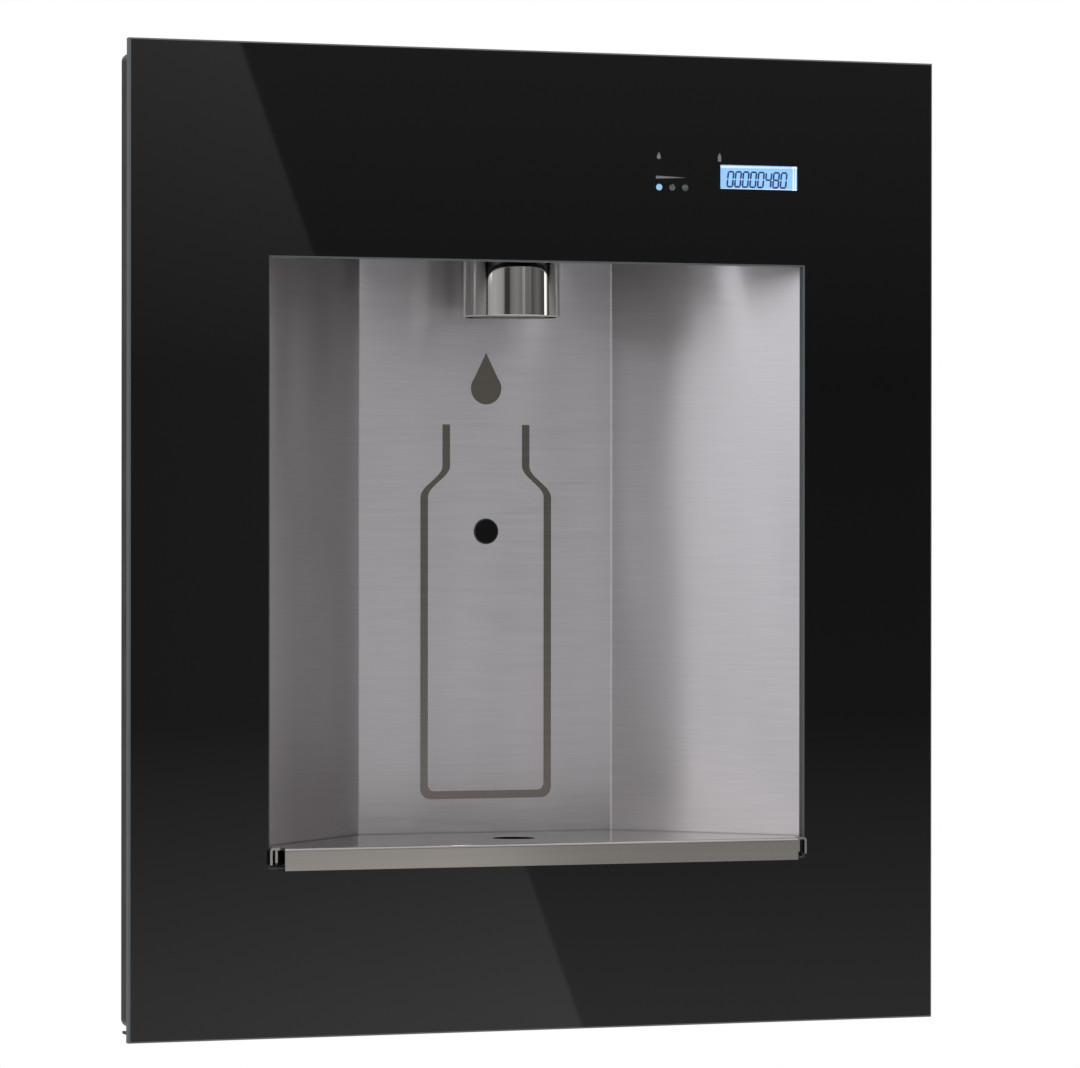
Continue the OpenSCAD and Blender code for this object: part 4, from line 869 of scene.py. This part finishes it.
@dataclass
class PipeFittings(SubAssembly):
    """Thread, grips and band on the water side.

    Attributes:
        inlet: X and Y of the inlet's axis.
        thread_r: radius of the inlet's thread.
        thread_z: Z of the thread's lower and upper ends.
        pitch: pitch of a G 1/2 pipe thread.
        crest: radius of the thread's crest.
        turn_steps: steps in each turn of the thread.
        filter_axis: Y and Z of the filter cartridge's axis.
        filter_r: its radius.
        grip_x: X of the rings that give the fingers a grip.
        grip: each ring's half width at its foot and at its crest, and its height.
        band_x: X of the coloured band's middle.
        band_half: half its width.
        sink: how far the rings and the band are let into the cartridge.
        film: height of the band.
    """

    inlet: Pair = (-150.0 * MM, 66.0 * MM)
    thread_r: float = 10.25 * MM
    thread_z: Pair = (-250.2 * MM, -237.8 * MM)
    pitch: float = 1.814 * MM
    crest: float = 0.5 * MM
    turn_steps: int = 28
    filter_axis: Pair = (15.0 * MM, -197.0 * MM)
    filter_r: float = 30.0 * MM
    grip_x: tuple[float, ...] = (58.0, 60.6, 63.2, 133.0, 135.6, 138.2)
    grip: Point = (0.6 * MM, 0.4 * MM, 0.7 * MM)
    band_x: float = 98 * MM
    band_half: float = 28 * MM
    sink: Pair = (0.2 * MM, 0.1 * MM)
    film: float = 0.15 * MM

    def section(self, foot: float, crest: float, sink: float, rise: float) -> list[Pair]:
        """Outline a ring on the cartridge.

        Args:
            foot: half its width at its foot.
            crest: half its width at its crest.
            sink: how far its foot lies under the surface.
            rise: how far its crest stands over it.

        Returns:
            Radius and place of each corner.
        """
        inner, outer = self.filter_r - sink, self.filter_r + rise
        return [(inner, -foot), (outer, -crest), (outer, crest), (inner, foot)]

    def build(self) -> None:
        """Wind the thread and put the grips and the band on the filter."""
        low, high = self.thread_z
        turns = (high - low) / self.pitch
        mesh = bmesh.new()
        steps = int(self.turn_steps * turns)
        path = coil((*self.inlet, low), 2, self.thread_r, high - low, turns, steps)
        tube(mesh, path, self.crest, sides=6)
        self.piece("inlet_thread", mesh, "brass", Body.WALL, "brass")
        y, z = self.filter_axis
        foot, crest, rise = self.grip
        mesh = bmesh.new()
        for x in self.grip_x:
            turned(mesh, (x * MM, y, z), 0, self.section(foot, crest, self.sink[0], rise))
        self.piece("filter_grip_rings", mesh, "polypropylene", Body.FILTER, "white_plastic")
        mesh = bmesh.new()
        band = self.section(self.band_half, self.band_half, self.sink[1], self.film)
        turned(mesh, (self.band_x, y, z), 0, band)
        self.piece("filter_band", mesh, "tube_blue", Body.FILTER, "tube_blue")


# Nodes of the frame that have each finish
NODES_OF: dict[str, str] = {
    "powder_coat": "trim_frame panel_carrier",
    "zinc": "wall_box box_bottom cross_rails filter_bracket display_bracket",
    "screw": "frame_screws solenoid_plunger plunger_spring security_screws panel_studs",
    "stainless": "alcove_liner basin_floor waste_fitting",
    # The ceiling takes the darkened sheet: painted shade
    "soffit": "alcove_ceiling",
    "mark": "fill_marks",
    "chrome": "nozzle_shroud",
    "grey_abs": "nozzle_body control_box control_cover",
    "polypropylene": "flow_straightener filter_head filter_cartridge waste_pipe",
    "rubber": (
        "nozzle_gasket cartridge_seals supply_grommet waste_gasket opening_gasket tray_pads"
    ),
    "nylon": "nozzle_nut waste_nut panel_catches",
    "acetal": "nozzle_elbow",
    "black_abs": "sensor_housing sensor_nut tube_clips power_supply",
    "lens": "sensor_lens",
    "brass": "solenoid_body isolation_valve inlet_union inlet_locknut",
    "coil": "solenoid_coil",
    "lever": "valve_lever",
    "tube_blue": "inlet_tube",
    "tube": "riser_tube nozzle_tube",
    "board": "control_board display_board",
    "lcd": "lcd_module",
    "light": "light_pipes",
    "cable": "sensor_cable solenoid_cable",
    "ribbon": "display_ribbon",
    "black_glass": "glass_panel",
    "clear_window": "clear_windows",
    "tray_steel": "tray_deck tray_base",
}


@dataclass
class Station(SubAssembly):
    """The frame's own nodes, each with the finish of the real piece."""

    def dress(self, nodes: dict[str, Object]) -> None:
        """Give every node of the frame its finish.

        Args:
            nodes: the frame's nodes by name.
        """
        finish_of = {name: key for key, names in NODES_OF.items() for name in names.split()}
        for name, node in nodes.items():
            material = self.materials[finish_of[name]]
            for slot in node.material_slots:
                slot.material = material
            LOG.info("%s: %s", name, material.name)


@dataclass
class Studio:
    """Camera, lights, card and floor.

    Attributes:
        eye: the camera's place.
        target: the point it looks at.
        lens: focal length in millimetres over a 36 mm frame.
        roll: turn about the view in degrees.
        card_y: Y of the card that the glass mirrors.
        card_x: X of the card's sides.
        card_half: half its height.
        card_edge: X of the card's slanted edge at its upper mark, Z of that mark, and its lean.
        card_plain: the card's light from its foot to its top.
        card_extra: light added left of the slanted edge, from foot to top.
        floor_z: Z of the floor.
        floor_half: half the floor's width.
        horizon: light at eye level by bearing in degrees, 0 at -Y and positive towards +X.
        sky: light from above by bearing.
        ground: light from below by bearing.
        above: share of the sky's light, from straight down at 0 to straight up at 1.
        below: share of the ground's light in the same way.
        sky_tint: sRGB hex colour of the light from above.
        ground_tint: sRGB hex colour of the light from below.
        panel_place: where the softbox on the left stands.
        panel_side: its width and height.
        panel_watts: its power.
        strip_place: X, Y and Z of the small lamps over the alcove, on either side.
        strip_side: their width.
        strip_watts: their power.
    """

    eye: Point = (-0.8626, -2.4733, 0.0081)
    target: Point = (-0.00087, -0.0335, 0.00321)
    lens: float = 172.76
    roll: float = 0.045
    card_y: float = -2.6
    card_x: Pair = (0.3, 1.5)
    card_half: float = 0.6
    card_edge: Point = (0.586, 0.492, -0.3656)
    card_plain: Stops = ((0.0, 0.8), (0.2, 0.5), (0.38, 0.16), (0.6, 0.13), (0.8, 0.24), (1.0, 0.4))
    card_extra: Stops = ((0.0, 0.5), (0.2, 0.36), (0.38, 0.1), (0.6, 0.12), (0.8, 0.34), (1.0, 0.5))
    floor_z: float = -1.3
    floor_half: float = 6.0
    horizon: Stops = (
        (-180, 0.3), (-120, 0.2), (-95, 0.15), (-82, 0.2), (-70, 0.42), (-58, 0.47), (-46, 0.4),
        (-38, 0.34), (-33, 0.05), (-24, 0.04), (-19, 0.2), (-6, 0.26), (4, 0.2), (14, 0.05),
        (24, 0.03), (34, 0.1), (46, 0.17), (62, 0.06), (66, 0.06), (68, 1.8), (73, 1.8),
        (75, 0.1), (95, 0.5), (120, 0.6), (180, 0.3),
    )
    sky: Stops = (
        (-180, 1.15), (-110, 0.98), (-80, 0.71), (-50, 0.91), (-25, 1.08), (0, 0.97),
        (20, 0.62), (45, 1.0), (80, 1.28), (110, 1.38), (180, 1.15),
    )
    ground: Stops = (
        (-180, 0.9), (-110, 0.85), (-80, 0.8), (-50, 0.8), (-25, 0.8), (0, 0.8), (20, 0.72),
        (45, 0.75), (80, 0.8), (110, 0.85), (180, 0.9),
    )
    above: Stops = ((0.56, 0.0), (0.66, 1.0))
    below: Stops = ((0.33, 1.0), (0.42, 0.0))
    sky_tint: str = "#f9f7ff"
    ground_tint: str = "#fffaf6"
    panel_place: Point = (-1.9, -0.55, 0.55)
    panel_side: float = 0.6
    panel_watts: float = 1.5
    strip_place: Point = (0.056, -0.018, 0.148)
    strip_side: float = 0.012
    strip_watts: float = 0.006

    def camera(self) -> None:
        """Place the camera at the photograph's angle."""
        data = bpy.data.cameras.new("photo_camera")
        data.lens, data.sensor_width = self.lens, 36.0
        data.clip_start, data.clip_end = 0.05, 50.0
        camera = bpy.data.objects.new("photo_camera", data)
        bpy.context.collection.objects.link(camera)
        aim = (Vector(self.target) - Vector(self.eye)).to_track_quat("-Z", "Y")
        turn = Matrix.Rotation(math.radians(self.roll), 4, "Z")
        camera.matrix_world = Matrix.Translation(self.eye) @ aim.to_matrix().to_4x4() @ turn
        bpy.context.scene.camera = camera

    @staticmethod
    def white_background(tree: Tree, shader: Node, white: Node) -> Socket:
        """Show white to the camera, straight on or through clear glass.

        Args:
            tree: the node tree.
            shader: what every other ray meets.
            white: what the camera sees.

        Returns:
            The mixed shader.
        """
        path = add_node(tree, "LightPath").outputs
        rays = {0: path["Is Camera Ray"], 1: path["Is Transmission Ray"]}
        seen = add_node(tree, "Math", {"operation": "MAXIMUM"}, rays).outputs[0]
        links = {0: seen, 1: shader.outputs[0], 2: white.outputs[0]}
        return add_node(tree, "MixShader", links=links).outputs[0]

    def world(self) -> None:
        """White to the camera; a soft grey studio for everything else."""
        world = bpy.data.worlds.new("studio")
        world.use_nodes = True
        bpy.context.scene.world = world
        tree = world.node_tree
        tree.nodes.clear()
        aim = add_node(tree, "TexCoord").outputs["Generated"]
        split = add_node(tree, "SeparateXYZ", links={0: aim}).outputs
        flip = {"operation": "MULTIPLY", 1: -1.0}
        front = add_node(tree, "Math", flip, {0: split["Y"]}).outputs[0]
        sides = {0: split["X"], 1: front}
        bearing = add_node(tree, "Math", {"operation": "ARCTAN2"}, sides).outputs[0]
        span = {"From Min": -math.pi, "From Max": math.pi}
        round_about = add_node(tree, "MapRange", span, {"Value": bearing}).outputs[0]
        span = {"From Min": -1.0, "From Max": 1.0}
        lifted = add_node(tree, "MapRange", span, {"Value": split["Z"]}).outputs[0]
        bands = [
            tuple(((angle + 180) / 360, value) for angle, value in table)
            for table in (self.horizon, self.sky, self.ground)
        ]
        level, high, low, above, below = (
            add_node(tree, "ValToRGB", {"stops": stops}, {0: place}).outputs[0]
            for stops, place in zip(
                (*bands, self.above, self.below), (round_about,) * 3 + (lifted,) * 2
            )
        )
        upper, lower = (
            add_node(
                tree, "Mix", {"data_type": "RGBA", 6: BLACK, 7: linear(tint)}, {0: light}
            ).outputs[2]
            for tint, light in ((self.sky_tint, high), (self.ground_tint, low))
        )
        room = level
        for share, light in ((above, upper), (below, lower)):
            room = add_node(
                tree, "Mix", {"data_type": "RGBA"}, {0: share, 6: room, 7: light}
            ).outputs[2]
        studio = add_node(tree, "Background", {"Strength": 1.0}, {"Color": room})
        white = add_node(tree, "Background", {"Color": WHITE, "Strength": 1.0})
        both = self.white_background(tree, studio, white)
        add_node(tree, "OutputWorld", links={"Surface": both})

    @staticmethod
    def plate(name: str, corners: Sequence[Point], colour_name: str) -> tuple[Object, Tree]:
        """Add a flat plate with an empty material.

        Args:
            name: its name.
            corners: its corners in order.
            colour_name: its material's name.

        Returns:
            The plate and its material's node tree.
        """
        mesh = bmesh.new()
        mesh.faces.new([mesh.verts.new(corner) for corner in corners])
        material = bpy.data.materials.new(colour_name)
        material.use_nodes = True
        material.node_tree.nodes.clear()
        return new_object(name, mesh, material), material.node_tree

    def card(self) -> None:
        """Hang the graded card that the glass mirrors, lighter past its slanted edge."""
        (left, right), half = self.card_x, self.card_half
        outline = ((left, -half), (right, -half), (right, half), (left, half))
        corners = [(x, self.card_y, z) for x, z in outline]
        card, tree = self.plate("graded_card", corners, "Graded_card")
        where = add_node(tree, "TexCoord").outputs["Object"]
        split = add_node(tree, "SeparateXYZ", links={0: where}).outputs
        span = {"From Min": -0.8, "From Max": 0.8}
        height = add_node(tree, "MapRange", span, {"Value": split["Z"]}).outputs[0]
        plain, extra = (
            add_node(tree, "ValToRGB", {"stops": stops}, {0: height}).outputs[0]
            for stops in (self.card_plain, self.card_extra)
        )
        edge_x, edge_z, lean = self.card_edge
        shear = {"operation": "MULTIPLY_ADD", 1: -lean, 2: lean * edge_z - edge_x}
        slide = add_node(tree, "Math", shear, {0: split["Z"]}).outputs[0]
        side = add_node(tree, "Math", {"operation": "ADD"}, {0: split["X"], 1: slide}).outputs[0]
        # The added light grows from a third, half a metre left of the edge, to all of it there
        span = {"From Min": -0.5, "From Max": 0.0, "To Min": 0.35, "To Max": 1.0}
        past = add_node(tree, "MapRange", span, {"Value": side}).outputs[0]
        step = {"operation": "LESS_THAN", 1: 0.0}
        inside = add_node(tree, "Math", step, {0: side}).outputs[0]
        share = add_node(tree, "Math", {"operation": "MULTIPLY"}, {0: past, 1: inside}).outputs[0]
        sums = {0: share, 1: extra, 2: plain}
        added = add_node(tree, "Math", {"operation": "MULTIPLY_ADD"}, sums).outputs[0]
        glow = add_node(tree, "Emission", {"Color": WHITE}, {"Strength": added})
        add_node(tree, "OutputMaterial", links={"Surface": glow.outputs[0]})
        card.visible_camera = card.visible_diffuse = card.visible_shadow = False

    def floor(self) -> None:
        """Lay a pale floor well below the station, white to the camera."""
        far = self.floor_half
        outline = ((-far, -far), (far, -far), (far, far), (-far, far))
        corners = [(x, y, self.floor_z) for x, y in outline]
        floor, tree = self.plate("pale_floor", corners, "Pale_floor")
        matt = add_node(tree, "BsdfDiffuse", {"Color": (0.8, 0.8, 0.8, 1)})
        white = add_node(tree, "Emission", {"Color": WHITE, "Strength": 1.0})
        both = self.white_background(tree, matt, white)
        add_node(tree, "OutputMaterial", links={"Surface": both})

    def lamp(self, name: str, place: Point, aim: Point, side: float, watts: float) -> None:
        """Add a square softbox.

        Args:
            name: its name.
            place: where it stands.
            aim: the point it faces.
            side: its width and height.
            watts: its power.
        """
        data = bpy.data.lights.new(name, "AREA")
        data.shape, data.size, data.size_y, data.energy = "RECTANGLE", side, side, watts
        data.color = linear(self.sky_tint)[:3]
        lamp = bpy.data.objects.new(name, data)
        lamp.location = place
        lamp.rotation_mode = "QUATERNION"
        lamp.rotation_quaternion = (Vector(aim) - Vector(place)).to_track_quat("-Z", "Y")
        bpy.context.collection.objects.link(lamp)

    def build(self) -> None:
        """Set the whole studio up."""
        self.camera()
        self.world()
        self.card()
        self.floor()
        self.lamp("left_panel", self.panel_place, (0, 0, 0), self.panel_side, self.panel_watts)
        away, y, z = self.strip_place
        for x in (-away, away):
            self.lamp("alcove_strip", (x, y, z), (x, y, 0), self.strip_side, self.strip_watts)
        bpy.context.scene.view_settings.view_transform = "Standard"


def main() -> None:
    """Load the frame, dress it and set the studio."""
    logging.basicConfig(level=logging.INFO, format="%(name)s: %(message)s")
    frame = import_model()
    for finish in FINISHES.values():
        finish.build()
    materials = {key: bpy.data.materials[finish.name] for key, finish in FINISHES.items()}
    Station(materials).dress(frame["nodes"])
    for part in (CounterDisplay, GlassPrint, BoxDetails, PipeFittings, ReturnSpring):
        part(materials).build()
    Studio().build()


if __name__ == "__main__":
    main()
